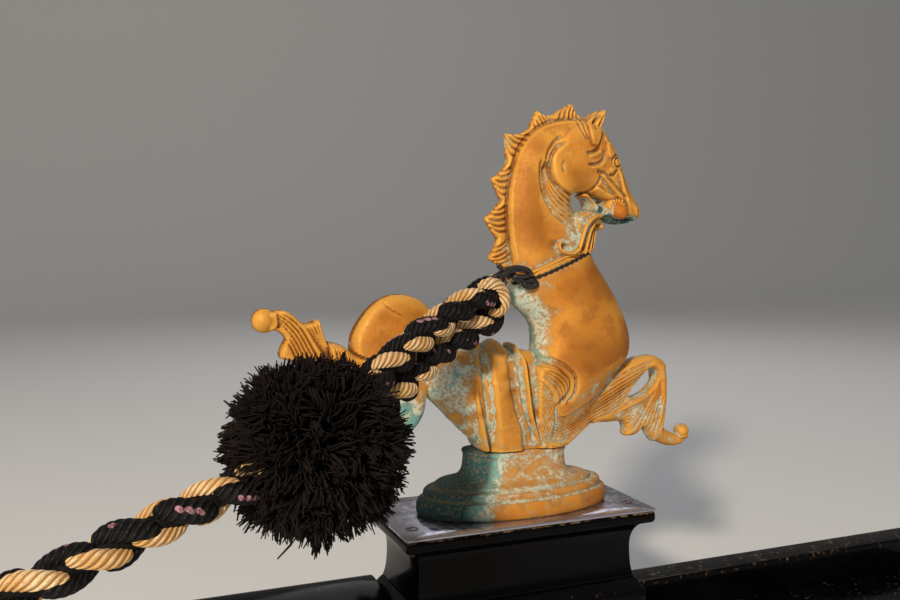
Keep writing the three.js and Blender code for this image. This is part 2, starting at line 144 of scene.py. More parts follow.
def tube_faces(rings, sides, first=0, looped=False):
    """Quads between rings of points, with a flat cap at each end unless the tube is looped."""
    i, j = np.meshgrid(np.arange(rings if looped else rings - 1), np.arange(sides), indexing="ij")
    k, n = (j + 1) % sides, (i + 1) % rings
    quads = np.stack([i * sides + j, i * sides + k, n * sides + k, n * sides + j], -1)
    faces = (quads.reshape(-1, 4) + first).tolist()
    if not looped:
        faces.append([first + s for s in reversed(range(sides))])
        faces.append([first + (rings - 1) * sides + s for s in range(sides)])
    return faces


def new_piece(name, points, faces, *materials):
    """A smooth mesh piece from points in metres, with its faces turned outwards."""
    mesh = bpy.data.meshes.new(name)
    mesh.from_pydata(np.asarray(points).tolist(), [], faces)
    work = bmesh.new()
    work.from_mesh(mesh)
    bmesh.ops.recalc_face_normals(work, faces=work.faces)
    work.to_mesh(mesh)
    work.free()
    mesh.shade_smooth()
    for material in materials:
        mesh.materials.append(material)
    piece = bpy.data.objects.new(name, mesh)
    bpy.context.scene.collection.objects.link(piece)
    return piece


def add_value(piece, name, values):
    """A number at each vertex, which the piece's material reads."""
    layer = piece.data.attributes.new(name, "FLOAT", "POINT")
    layer.data.foreach_set("value", np.asarray(values, np.float32).ravel())


def above_plate(points):
    """Millimetres from the middle of the plate's top, in the row's frame in metres."""
    return np.asarray(points, float) * MM + np.array([0, 0, PLATE_TOP])


def put(tree, kind, inputs=(), **settings):
    """Adds a shader or geometry node. inputs gives its sockets a value, or another node's socket to read."""
    node = tree.nodes.new(kind)
    for key, value in settings.items():
        setattr(node, key, value)
    for socket, value in dict(inputs).items():
        if isinstance(value, bpy.types.NodeSocket):
            tree.links.new(value, node.inputs[socket])
        else:
            node.inputs[socket].default_value = value
    return node


def mixed(tree, mask, a, b):
    """Colour a where the mask is 0 and b where it is 1."""
    return put(tree, "ShaderNodeMix", {0: mask, 6: a, 7: b}, data_type="RGBA").outputs[2]


def between(tree, value, low, high, to_low=0.0, to_high=1.0):
    """A smooth step from to_low to to_high as the value goes from low to high."""
    sockets = {"Value": value, "From Min": low, "From Max": high, "To Min": to_low, "To Max": to_high}
    return put(tree, "ShaderNodeMapRange", sockets, interpolation_type="SMOOTHSTEP").outputs[0]


def noise(tree, scale, detail=3.0, stretch=(1, 1, 1)):
    """Noise over Object coordinates, which may be stretched."""
    place = put(tree, "ShaderNodeTexCoord").outputs["Object"]
    place = put(tree, "ShaderNodeMapping", {"Vector": place, "Scale": stretch}).outputs[0]
    sockets = {"Vector": place, "Scale": scale, "Detail": detail}
    return put(tree, "ShaderNodeTexNoise", sockets).outputs["Fac"]


def maths(tree, operation, a, b=0.0):
    """A Math node's result."""
    return put(tree, "ShaderNodeMath", {0: a, 1: b}, operation=operation).outputs[0]


def value_of(tree, name):
    """What add_value stored under that name."""
    return put(tree, "ShaderNodeAttribute", attribute_name=name).outputs["Fac"]


def new_material(name):
    """A material with a bare Principled BSDF: the material, its tree and that shader."""
    material = bpy.data.materials.new(name)
    material.use_nodes = True
    return material, material.node_tree, material.node_tree.nodes["Principled BSDF"]


def relief_normal(tree, height, strength, distance):
    """A normal tilted by a fine relief, whose full height is the distance in metres."""
    sockets = {"Height": height, "Strength": strength, "Distance": distance}
    return put(tree, "ShaderNodeBump", sockets).outputs[0]


gold_strand, tree, shader = new_material("gold_strand")
crest = value_of(tree, "ridge")
fibres = noise(tree, 900)
shade = mixed(tree, between(tree, noise(tree, 70), 0.35, 0.65), (0.66, 0.37, 0.115, 1), (0.88, 0.64, 0.36, 1))
# Painted shade: the grooves between the yarns turn dark brown.
shade = mixed(tree, between(tree, crest, -1.0, -0.1), (0.28, 0.105, 0.018, 1), shade)
shade = mixed(tree, between(tree, fibres, 0.25, 0.5), (0.48, 0.25, 0.08, 1), shade)
tree.links.new(shade, shader.inputs["Base Color"])
lay = maths(tree, "ADD", fibres, maths(tree, "MULTIPLY", crest, 0.5))
tree.links.new(relief_normal(tree, lay, 0.6, 0.0006), shader.inputs["Normal"])
shader.inputs["Roughness"].default_value = 0.72
shader.inputs["Sheen Weight"].default_value = 0.15

black_strand, tree, shader = new_material("black_strand")
fibres = noise(tree, 900)
crest = value_of(tree, "ridge")
# A painted highlight: paler fibres on the yarns' crests.
lit = maths(tree, "MULTIPLY", between(tree, fibres, 0.42, 0.62), between(tree, crest, 0.4, 1.0))
shade = mixed(tree, lit, (0.0022, 0.0018, 0.0022, 1), (0.036, 0.032, 0.034, 1))
purple = mixed(tree, between(tree, fibres, 0.4, 0.6), (0.20, 0.08, 0.11, 1), (0.48, 0.27, 0.30, 1))
tracer = between(tree, value_of(tree, "tracer"), 0.1, 0.4)
spots = maths(tree, "MULTIPLY", tracer, between(tree, noise(tree, 45), 0.41, 0.45))
tree.links.new(mixed(tree, spots, shade, purple), shader.inputs["Base Color"])
lay = maths(tree, "ADD", fibres, maths(tree, "MULTIPLY", crest, 0.5))
tree.links.new(relief_normal(tree, lay, 0.6, 0.0006), shader.inputs["Normal"])
shader.inputs["Roughness"].default_value = 0.65
shader.inputs["Specular IOR Level"].default_value = 0.18


def braid(name, path, along, frames, size=1.0, rows=slice(None), looped=False, begun=0.0):
    """A length of the plaited rope. Its gold columns lie along the frames' first direction."""
    turns = along / (STRAND_PITCH * size) + begun
    if looped:
        turns = np.linspace(0, round(turns[-1]), len(turns), endpoint=False)
    # The mesh runs round each strand with its yarns, so that their lay stays crisp.
    spin = along / (YARN_PITCH * YARNS * size)
    if looped:
        spin = np.linspace(0, round(spin[-1]), len(spin), endpoint=False)
    yarn_phi = np.linspace(0, 2 * math.pi, STRAND_SIDES, endpoint=False)
    phi = yarn_phi - 2 * math.pi * spin[:, None]
    ridge = np.cos(YARNS * yarn_phi) + 0 * phi
    points, faces, colours, ridges, tracers = [], [], [], [], []
    for colour in (0, 1):
        column, across = frames if colour == 0 else (frames[1], -frames[0])
        half_thick, half_wide = STRAND_HALF[colour]
        for half_turn in (0, 0.5):
            phase = 2 * math.pi * (turns + half_turn + colour / 4)
            height = np.sign(np.cos(phase)) * np.abs(np.cos(phase)) ** STRAND_DIVE
            # A strand comes up on one side of its column, leans across it and goes down on the other side.
            flat = np.abs(height)
            aside = STRAND_ASIDE * np.sin(phase)
            centres = path + (column * (STRAND_OUT * height)[:, None] + across * aside[:, None]) * size
            swell = STRAND_NARROWEST + (1 - STRAND_NARROWEST) * flat**2
            wide = half_wide * swell[:, None] * size + YARN_RIDGE * ridge
            thick = half_thick * size + YARN_RIDGE * ridge
            around = column[:, None] * (np.cos(phi) * thick)[..., None]
            around = around + across[:, None] * (np.sin(phi) * wide)[..., None]
            strand = (centres[:, None] + around)[rows]
            made = tube_faces(len(strand), STRAND_SIDES, sum(len(p) for p in points), looped)
            points.append(strand.reshape(-1, 3))
            faces += made
            colours += [colour] * len(made)
            ridges.append(ridge[rows].ravel())
            # Three purple tracer yarns show on the crown of each bulge of a black strand.
            past_crown = (np.mod(phase / math.pi + 0.5, 1) - 0.5) * STRAND_PITCH / 2
            nearest = np.clip(np.round(past_crown / TRACER["apart"]), -1, 1) * TRACER["apart"]
            from_yarn = np.abs(past_crown - nearest)[:, None]
            facing = np.where(height[:, None] > 0, phi, phi - math.pi)
            round_it = (np.mod(facing + math.pi, 2 * math.pi) - math.pi) * half_wide * 0.8
            tracers.append((1 - np.hypot(from_yarn, round_it) / TRACER["radius"])[rows].ravel())
    # A black core fills what the strands leave open between them.
    core = path[rows]
    ring_phi = np.linspace(0, 2 * math.pi, CORE["sides"], endpoint=False)[None, :, None]
    ring = frames[0][rows][:, None] * np.cos(ring_phi) + frames[1][rows][:, None] * np.sin(ring_phi)
    made = tube_faces(len(core), CORE["sides"], sum(len(p) for p in points), looped)
    points.append((core[:, None] + ring * CORE["radius"] * size).reshape(-1, 3))
    faces += made
    colours += [1] * len(made)
    ridges.append(np.full(len(points[-1]), -1.0))
    tracers.append(np.zeros(len(points[-1])))
    piece = new_piece(name, above_plate(np.vstack(points)), faces, gold_strand, black_strand)
    piece.data.polygons.foreach_set("material_index", colours)
    add_value(piece, "ridge", np.concatenate(ridges))
    add_value(piece, "tracer", np.concatenate(tracers))
    return piece


rope_ahead = unit((-0.76, -0.4, -0.36))
leg_side = np.array([0.42, 0.3, -0.86])
leg_side = unit(leg_side - rope_ahead * (leg_side @ rope_ahead))
turn_back = []
for angle in np.linspace(math.pi, 0, 7):
    out = leg_side * (1 - math.cos(angle)) - rope_ahead * math.sin(angle)
    turn_back.append(np.array(rope_route[0]) + out * LEG_APART / 2)
short_leg = [np.array(p) + leg_side * LEG_APART for p in rope_route[6:0:-1]]
doubled, along = evenly(spline([*short_leg, *turn_back[:-1], *rope_route]), STRAND_STEP)
neck_end = int(np.argmin(np.linalg.norm(doubled - np.array(rope_route[0]), axis=1)))
leg_end = int(np.argmin(np.linalg.norm(doubled - turn_back[0], axis=1)))


def angle_of(i, direction):
    """The direction's angle round the rope at a point, from the frame's first direction."""
    return math.atan2(doubled_up[i] @ direction, doubled_side[i] @ direction)


doubled_side, doubled_up = frames_along(doubled)
upwards = np.array((-0.05, -0.35, 0.93))
upper_at = neck_end + round(GOLD_UPPERMOST / STRAND_STEP)
lower_at = leg_end - round(GOLD_LOWERMOST / STRAND_STEP)
rate = 2 * math.pi / TWIST_PITCH
long_twist = angle_of(upper_at, upwards) + rate * (along - along[upper_at])
short_twist = angle_of(lower_at, upwards) + rate * (along - along[lower_at])
apart = (long_twist - short_twist + math.pi / 2) % math.pi - math.pi / 2
twist = short_twist + apart * np.clip((along - along[leg_end]) / (along[neck_end] - along[leg_end]), 0, 1)
cos, sin = np.cos(twist)[:, None], np.sin(twist)[:, None]
twisted_frames = (doubled_side * cos + doubled_up * sin, doubled_up * cos - doubled_side * sin)
begun = np.interp(along, (along[leg_end], along[neck_end]), TURNS_BEGUN)
rope = braid("rope", doubled, along, twisted_frames, rows=slice(neck_end, None), begun=begun)
rope_bight = braid("rope_bight", doubled, along, twisted_frames, rows=slice(None, neck_end + 1), begun=begun)
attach(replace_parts(rope, "rope"), "horse")
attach(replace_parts(rope_bight, "rope_bight"), "horse")

# The eye at the rope's end
# The rope's end is turned into a ring and seized to itself with fine black twine.
# It drops over a hook inboard and aft of the horse.
EYE_RADIUS = 21.0
EYE_SIZE = 0.88
EYE_AWAY = 29.9
EYE_STEPS = 150
SEIZING = {"radius": 10.4, "length": 22.0, "beyond_end": 0.75, "twine": 1.5}
rope_end = np.array(rope_route[-1], float)
eye_ahead = unit((-0.94, -0.24, -0.23))
eye_up = unit(np.cross(np.cross(eye_ahead, (0, 0, 1)), eye_ahead))
eye_side = unit(np.cross(eye_ahead, eye_up))
eye_angles = np.linspace(0, 2 * math.pi, EYE_STEPS, endpoint=False)[:, None]
eye_outward = eye_ahead * np.cos(eye_angles) + eye_up * np.sin(eye_angles)
eye_path = rope_end + eye_ahead * EYE_AWAY + EYE_RADIUS * eye_outward
eye_frames = (eye_outward, np.repeat(eye_side[None], EYE_STEPS, 0))
twine, tree, shader = new_material("black_twine")
fibres = noise(tree, 1400)
shade = mixed(tree, between(tree, fibres, 0.45, 0.7), (0.005, 0.005, 0.006, 1), (0.05, 0.045, 0.045, 1))
tree.links.new(shade, shader.inputs["Base Color"])
tree.links.new(relief_normal(tree, fibres, 0.4, 0.0004), shader.inputs["Normal"])
shader.inputs["Roughness"].default_value = 0.45


def twisted(path, radius, strands=2, pitch=9.0, sides=8, step=0.7, taper=True):
    """A thin cord of laid strands along a path: its points and faces."""
    path, along = evenly(path, step)
    side, up = frames_along(path)
    phi = np.linspace(0, 2 * math.pi, sides, endpoint=False)
    ends = np.minimum(1, np.sqrt(np.minimum(along, along[-1] - along) / radius + 0.05)) if taper else 1
    strand_radius = radius * (0.62 if strands == 2 else 0.56)
    points, faces = [], []
    for number in range(strands):
        turn = 2 * math.pi * (along / pitch + number / strands)
        outward = side * np.cos(turn)[:, None] + up * np.sin(turn)[:, None]
        sideways = up * np.cos(turn)[:, None] - side * np.sin(turn)[:, None]
        centres = path + outward * (radius - strand_radius)
        ring = outward[:, None] * np.cos(phi)[None, :, None] + sideways[:, None] * np.sin(phi)[None, :, None]
        strand = centres[:, None] + ring * np.broadcast_to(strand_radius * ends, len(path))[:, None, None]
        faces += tube_faces(len(path), sides, sum(len(p) for p in points))
        points.append(strand.reshape(-1, 3))
    return np.vstack(points), faces


def joined(parts):
    """Several meshes' points and faces as one."""
    points, faces, first = [], [], 0
    for p, f in parts:
        points.append(p)
        faces += [[first + i for i in face] for face in f]
        first += len(p)
    return np.vstack(points), faces


rope_eye = braid("rope_eye", eye_path, EYE_RADIUS * eye_angles.ravel(), eye_frames, EYE_SIZE, looped=True)
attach(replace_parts(rope_eye, "rope_eye"), "horse")

seize_turns = np.linspace(0, 1, 400)[:, None]
seize_angle = 2 * math.pi * SEIZING["length"] / (2 * SEIZING["twine"]) * seize_turns
seize_path = rope_end + eye_ahead * (seize_turns - SEIZING["beyond_end"]) * SEIZING["length"]
seize_path = seize_path + SEIZING["radius"] * (eye_side * np.cos(seize_angle) + eye_up * np.sin(seize_angle))
seize_points, seize_faces = twisted(seize_path, SEIZING["twine"] * 0.95, 1, sides=6, step=2.0)
seizing = new_piece("eye_seizing", above_plate(seize_points), seize_faces, twine)
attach(seizing, "horse")

# The rail
# The gunwale is hardwood under many coats of black lacquer: a flat board, with a high rounded rail aft of the
# block and a low square one forward of it. The lacquer is worn through at the sharpest edges.
RAIL_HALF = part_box("rail_board")[1].x
BLOCK_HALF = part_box("block_foot")[1].x
BOARD = {"half": 48.0, "height": 18.0, "round": 1.6}
AFT_CREST = 70.0
FORE_CREST = 44.0
SEAM = 0.3
END_ROUND = 1.2


def rounded(corners, radius, per=5):
    """An outline with each corner rounded. A corner may give a radius of its own as its third number."""
    made = []
    for i, corner in enumerate(corners):
        here = np.array(corner[:2], float)
        r = corner[2] if len(corner) > 2 else radius
        before = np.array(corners[i - 1][:2], float) - here
        after = np.array(corners[(i + 1) % len(corners)][:2], float) - here
        r = min(r, 0.45 * np.linalg.norm(before), 0.45 * np.linalg.norm(after))
        a, b = here + unit(before) * r, here + unit(after) * r
        for t in np.linspace(0, 1, per):
            made.append((1 - t) ** 2 * a + 2 * t * (1 - t) * here + t**2 * b)
    return np.array(made)


lacquer, tree, shader = new_material("black_lacquer")
edge = value_of(tree, "edge")
scuffs = noise(tree, 260, 5.0)
rub = noise(tree, 45, 4.0)
chips = between(tree, maths(tree, "ADD", edge, scuffs), 1.10, 1.34)
haze = between(tree, noise(tree, 12, 6.0, (1, 3, 3)), 0.42, 0.75, 0.0, 0.35)
shade = mixed(tree, haze, (0.001, 0.0009, 0.0013, 1), (0.005, 0.0045, 0.008, 1))
wood = mixed(tree, between(tree, rub, 0.4, 0.6), (0.13, 0.06, 0.025, 1), (0.27, 0.17, 0.09, 1))
tree.links.new(mixed(tree, chips, shade, wood), shader.inputs["Base Color"])
tree.links.new(between(tree, rub, 0.3, 0.75, 0.09, 0.26), shader.inputs["Roughness"])
tree.links.new(relief_normal(tree, noise(tree, 30, 2.0), 0.1, 0.002), shader.inputs["Normal"])
shader.inputs["Specular IOR Level"].default_value = 0.07
shader.inputs["Coat Weight"].default_value = 0.03
shader.inputs["Coat Roughness"].default_value = 0.05


def bar(name, outline, x0, x1, wear=0.0):
    """A length of rail: a (Y, Z) outline in millimetres carried along X, with rounded end edges."""
    middle = outline.mean(0)
    rows = [(x0, END_ROUND), (x0 + 0.35, 0.35)]
    rows += [(x, 0.0) for x in np.linspace(x0 + END_ROUND, x1 - END_ROUND, 24)]
    rows += [(x1 - 0.35, 0.35), (x1, END_ROUND)]
    points = []
    for x, inset in rows:
        inward = unit(middle - outline) * inset
        points += [(x * MM, y * MM, z * MM) for y, z in outline + inward]
    piece = new_piece(name, points, tube_faces(len(rows), len(outline)), lacquer)
    worn = np.tile(np.where(outline[:, 1] > outline[:, 1].max() - 3, wear, 0.0), len(rows))
    add_value(piece, "edge", worn)
    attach(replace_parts(piece, name), "rail")


board_half, board_top = BOARD["half"], BOARD["height"]
board_corners = [(-board_half, 0), (board_half, 0), (board_half, board_top), (-board_half, board_top)]
bar("rail_board", rounded(board_corners, BOARD["round"]), -RAIL_HALF / MM, RAIL_HALF / MM, 0.5)
rail_base = board_top + SEAM
aft_corners = [
    (-34, rail_base), (44, rail_base), (44, AFT_CREST, 9), (24, AFT_CREST, 12), (-8, 61, 30), (-34, 36, 3),
]
bar("rail_aft", rounded(aft_corners, 0.8, 9), -RAIL_HALF / MM, -BLOCK_HALF / MM - SEAM, 0.45)
fore_corners = [(12, rail_base), (38, rail_base), (38, FORE_CREST, 3), (12, FORE_CREST, 2.2)]
bar("rail_fore", rounded(fore_corners, 0.8, 7), BLOCK_HALF / MM + SEAM, RAIL_HALF / MM, 0.55)

# The block
# A foot, a hollow-moulded waist and a bull-nosed cap, cut on the spindle moulder, mitred and lacquered black.
# A socket for the horse's tang goes down through the cap and the waist.
PLATE = {"length": 182.0, "depth": 91.0, "thick": 2.0}
CAP_TOP = PLATE_TOP / MM - PLATE["thick"] - SEAM
CAP_HEIGHT = 8.0
BLOCK_FOOT = {"inset": 4.0, "shoulder": 62.0, "top": 70.0, "top_inset": 10.0}
WAIST = {"inset": 12.5, "top_inset": 5.0, "z": PLATE_TOP / MM - 28}
SOCKET = {"x": 4.0, "length": 27.2, "depth": 15.2, "floor": PLATE_TOP / MM - 55}
SOCKET_MOUTH = (SOCKET["length"] / 2, SOCKET["depth"] / 2, 0.5)
CORNER = 1.4
CORNER_STEPS = 5


def corner_ring(half_x, half_y, radius, z, x=0.0):
    """A rectangle with rounded corners, at a height."""
    points = []
    for sx, sy, start in ((1, 1, 0), (-1, 1, 90), (-1, -1, 180), (1, -1, 270)):
        for a in np.linspace(start, start + 90, CORNER_STEPS):
            a = math.radians(a)
            across, along = sx * (half_x - radius), sy * (half_y - radius)
            points.append((x + across + radius * math.cos(a), along + radius * math.sin(a), z))
    return points


def moulded(name, rows, socket_floor, wear):
    """A moulding round the block from rows of inset and height, with the socket in it down to its floor."""
    half_x, half_y = PLATE["length"] / 2, PLATE["depth"] / 2
    rings = [corner_ring(half_x - inset, half_y - inset, CORNER, z) for inset, z in rows]
    rings.append(corner_ring(*SOCKET_MOUTH, rows[-1][1], SOCKET["x"]))
    right_through = socket_floor is None
    rings.append(corner_ring(*SOCKET_MOUTH, rows[0][1] if right_through else socket_floor, SOCKET["x"]))
    points = [p for ring in rings for p in ring]
    faces = tube_faces(len(rings), 4 * CORNER_STEPS, 0, right_through)
    piece = new_piece(name, np.array(points) * MM, faces, lacquer)
    edges = [*wear, *[0.0] * (len(rings) - len(wear))]
    add_value(piece, "edge", np.repeat(edges, 4 * CORNER_STEPS))
    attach(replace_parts(piece, name), "rail")


def arc_rows(a, pull, b, steps=14):
    """A hollow or a nose from a to b, drawn towards the pull point."""
    t = np.linspace(0, 1, steps)[:, None]
    return ((1 - t) ** 2 * np.array(a) + 2 * t * (1 - t) * np.array(pull) + t**2 * np.array(b)).tolist()


shoulder, top, top_inset = BLOCK_FOOT["shoulder"], BLOCK_FOOT["top"], BLOCK_FOOT["top_inset"]
edge = BLOCK_FOOT["inset"]
foot_rows = [(edge + 0.8, rail_base), (edge, rail_base + 0.8), (edge, shoulder - 1), (edge + 0.4, shoulder)]
foot_rows += [(top_inset - 0.5, top - 0.5), (top_inset + 0.6, top)]
moulded("block_foot", foot_rows, SOCKET["floor"], [0, 0.3, 0.5, 0.5, 0.4, 0.2])
cap_base = CAP_TOP - CAP_HEIGHT
waist_base, waist_top = top + SEAM, cap_base - SEAM
waist, waist_z = WAIST["inset"], WAIST["z"]
waist_rows = arc_rows((top_inset, waist_base), (waist, waist_base + 6), (waist, waist_z), 14)
waist_rows += arc_rows((waist, waist_z), (waist, waist_top - 4), (WAIST["top_inset"], waist_top), 18)[1:]
moulded("block_waist", waist_rows, None, [0.3] + [0.0] * (len(waist_rows) - 2) + [0.2])
cap_rows = arc_rows((3.5, cap_base), (0, cap_base), (0, cap_base + 3.5), 8)
cap_rows += arc_rows((0, CAP_TOP - 2.5), (0, CAP_TOP), (2.5, CAP_TOP), 8)
moulded("block_cap", cap_rows, None, [0.1] * 8 + [0.3, 0.4, 0.5, 0.62, 0.72, 0.72, 0.55, 0.4])

# The steel plate and its screws
# A thin sheet of worn steel closes the block's top, held by two slotted screws beside the brass foot.
# Its edge is bright, and dirt has dried on it aft of the foot.
plate_steel, tree, shader = new_material("worn_steel")
streaks = noise(tree, 60, 6.0, (0.3, 3, 1))
scuffs = noise(tree, 160, 5.0)
dirt = between(tree, noise(tree, 34, 6.0), 0.5, 0.68)
shade = mixed(tree, streaks, (0.36, 0.35, 0.41, 1), (0.54, 0.52, 0.60, 1))
shade = mixed(tree, maths(tree, "MULTIPLY", dirt, 0.6), shade, (0.13, 0.10, 0.09, 1))
tree.links.new(shade, shader.inputs["Base Color"])
rough = between(tree, scuffs, 0.35, 0.7, 0.16, 0.42)
tree.links.new(rough, shader.inputs["Roughness"])
tree.links.new(relief_normal(tree, noise(tree, 25, 3.0), 0.12, 0.003), shader.inputs["Normal"])
shader.inputs["Metallic"].default_value = 0.9
plate_z = PLATE_TOP / MM
plate_low = plate_z - PLATE["thick"]
plate_half = np.array((PLATE["length"], PLATE["depth"])) / 2
plate_rings = [
    corner_ring(*(plate_half - 0.6), 1.0, plate_low),
    corner_ring(*plate_half, 1.2, plate_low + 0.4),
    corner_ring(*plate_half, 1.2, plate_z - 0.4),
    corner_ring(*(plate_half - 0.4), 1.0, plate_z),
    corner_ring(*SOCKET_MOUTH, plate_z, SOCKET["x"]),
    corner_ring(*SOCKET_MOUTH, plate_low, SOCKET["x"]),
]
plate_points = np.array([p for ring in plate_rings for p in ring]) * MM
plate_faces = tube_faces(len(plate_rings), 4 * CORNER_STEPS, 0, True)
top_plate = new_piece("top_plate", plate_points, plate_faces, plate_steel)
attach(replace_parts(top_plate, "top_plate"), "rail")

SCREWS = {"half_apart": 80.0, "y": -24.5, "radius": 4.3, "height": 1.0, "slot": 1.3}
screw_steel, tree, shader = new_material("screw_steel")
shade = mixed(tree, noise(tree, 400), (0.03, 0.025, 0.03, 1), (0.26, 0.20, 0.17, 1))
tree.links.new(shade, shader.inputs["Base Color"])
shader.inputs["Metallic"].default_value = 0.9
shader.inputs["Roughness"].default_value = 0.4


def screw_tree():
    """A slotted raised head on each point: a low dome with the slot cut across it."""
    tree = bpy.data.node_groups.new("slotted_screws", "GeometryNodeTree")
    for name, kind in (
        ("Places", "NodeSocketGeometry"), ("Radius", "NodeSocketFloat"), ("Height", "NodeSocketFloat"),
        ("Slot", "NodeSocketFloat"),
    ):
        tree.interface.new_socket(name, in_out="INPUT", socket_type=kind)
    tree.interface.new_socket("Screws", in_out="OUTPUT", socket_type="NodeSocketGeometry")
    given = put(tree, "NodeGroupInput").outputs
    sockets = {"Segments": 40, "Rings": 20, "Radius": given["Radius"]}
    dome = put(tree, "GeometryNodeMeshUVSphere", sockets).outputs[0]
    flatness = maths(tree, "DIVIDE", given["Height"], given["Radius"])
    squash = put(tree, "ShaderNodeCombineXYZ", {0: 1.0, 1: 1.0, 2: flatness}).outputs[0]
    dome = put(tree, "GeometryNodeTransform", {"Geometry": dome, "Scale": squash}).outputs[0]
    wide = maths(tree, "MULTIPLY", given["Radius"], 3.0)
    slot = put(tree, "ShaderNodeCombineXYZ", {0: wide, 1: given["Slot"], 2: given["Height"]}).outputs[0]
    cut = put(tree, "GeometryNodeMeshCube", {"Size": slot}).outputs[0]
    lift = put(tree, "ShaderNodeCombineXYZ", {2: given["Height"]}).outputs[0]
    cut = put(tree, "GeometryNodeTransform", {"Geometry": cut, "Translation": lift}).outputs[0]
    sockets = {"Mesh 1": dome, "Mesh 2": cut}
    slotted = put(tree, "GeometryNodeMeshBoolean", sockets, operation="DIFFERENCE").outputs[0]
    sockets = {"Points": given["Places"], "Instance": slotted}
    placed = put(tree, "GeometryNodeInstanceOnPoints", sockets).outputs[0]
    sockets = {"Min": (0, 0, 0), "Max": (0, 0, 3.1), "Seed": 4}
    turned = put(tree, "FunctionNodeRandomValue", sockets, data_type="FLOAT_VECTOR").outputs[0]
    placed = put(tree, "GeometryNodeRotateInstances", {"Instances": placed, "Rotation": turned}).outputs[0]
    real = put(tree, "GeometryNodeRealizeInstances", {"Geometry": placed}).outputs[0]
    real = put(tree, "GeometryNodeSetMaterial", {"Geometry": real, "Material": screw_steel}).outputs[0]
    tree.links.new(real, put(tree, "NodeGroupOutput").inputs[0])
    return tree


def grown(name, points, tree, values):
    """Runs a Geometry Nodes tree on loose points and returns its result as a plain mesh piece."""
    seed_mesh = bpy.data.meshes.new(name + "_seed")
    seed_mesh.from_pydata([tuple(p) for p in points], [], [])
    seed = bpy.data.objects.new(name + "_seed", seed_mesh)
    bpy.context.scene.collection.objects.link(seed)
    modifier = seed.modifiers.new("grow", "NODES")
    modifier.node_group = tree
    for socket in tree.interface.items_tree:
        if socket.name in values and socket.in_out == "INPUT":
            modifier[socket.identifier] = values[socket.name]
    shown = bpy.context.evaluated_depsgraph_get()
    mesh = bpy.data.meshes.new_from_object(seed.evaluated_get(shown), depsgraph=shown)
    seed.modifiers.remove(modifier)
    bpy.data.objects.remove(seed)
    mesh.name = name
    piece = bpy.data.objects.new(name, mesh)
    bpy.context.scene.collection.objects.link(piece)
    return piece


screw_places = [(side * SCREWS["half_apart"] * MM, SCREWS["y"] * MM, PLATE_TOP - 0.0001) for side in (-1, 1)]
screw_sizes = {"Radius": SCREWS["radius"] * MM, "Height": SCREWS["height"] * MM, "Slot": SCREWS["slot"] * MM}
plate_screws = grown("plate_screws", screw_places, screw_tree(), screw_sizes)
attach(plate_screws, "rail")

# The brass foot and its tang
# An oval foot flares up in two steps to a column with a thin rim, cast hollow and dressed with a file.
# The tang under it drops into the block's socket.
FOOT = {"x": 4.0, "half_length": 71.0, "half_depth": 35.0, "sides": 128}
BRASS = {
    "reddish": (0.56, 0.175, 0.014, 1),
    "golden": (0.72, 0.29, 0.032, 1),
    "deep": (0.38, 0.10, 0.010, 1),
    "dusty": (0.60, 0.34, 0.10, 1),
    "rubbed": (0.80, 0.41, 0.075, 1),
    "pitted": (0.26, 0.10, 0.02, 1),
    "shade_in_hollows": (0.13, 0.045, 0.012, 1),
    "brown_and_shade": (0.34, 0.105, 0.010, 1),
    "dull": (0.34, 0.20, 0.075, 1),
    "dull_pale": (0.46, 0.33, 0.16, 1),
}
PATINA = {
    "cream": (0.70, 0.65, 0.50, 1),
    "mint": (0.57, 0.66, 0.56, 1),
    "teal": (0.20, 0.43, 0.40, 1),
    "shadow_teal": (0.022, 0.085, 0.09, 1),
    "earth": (0.26, 0.15, 0.06, 1),
    "olive": (0.33, 0.26, 0.14, 1),
}


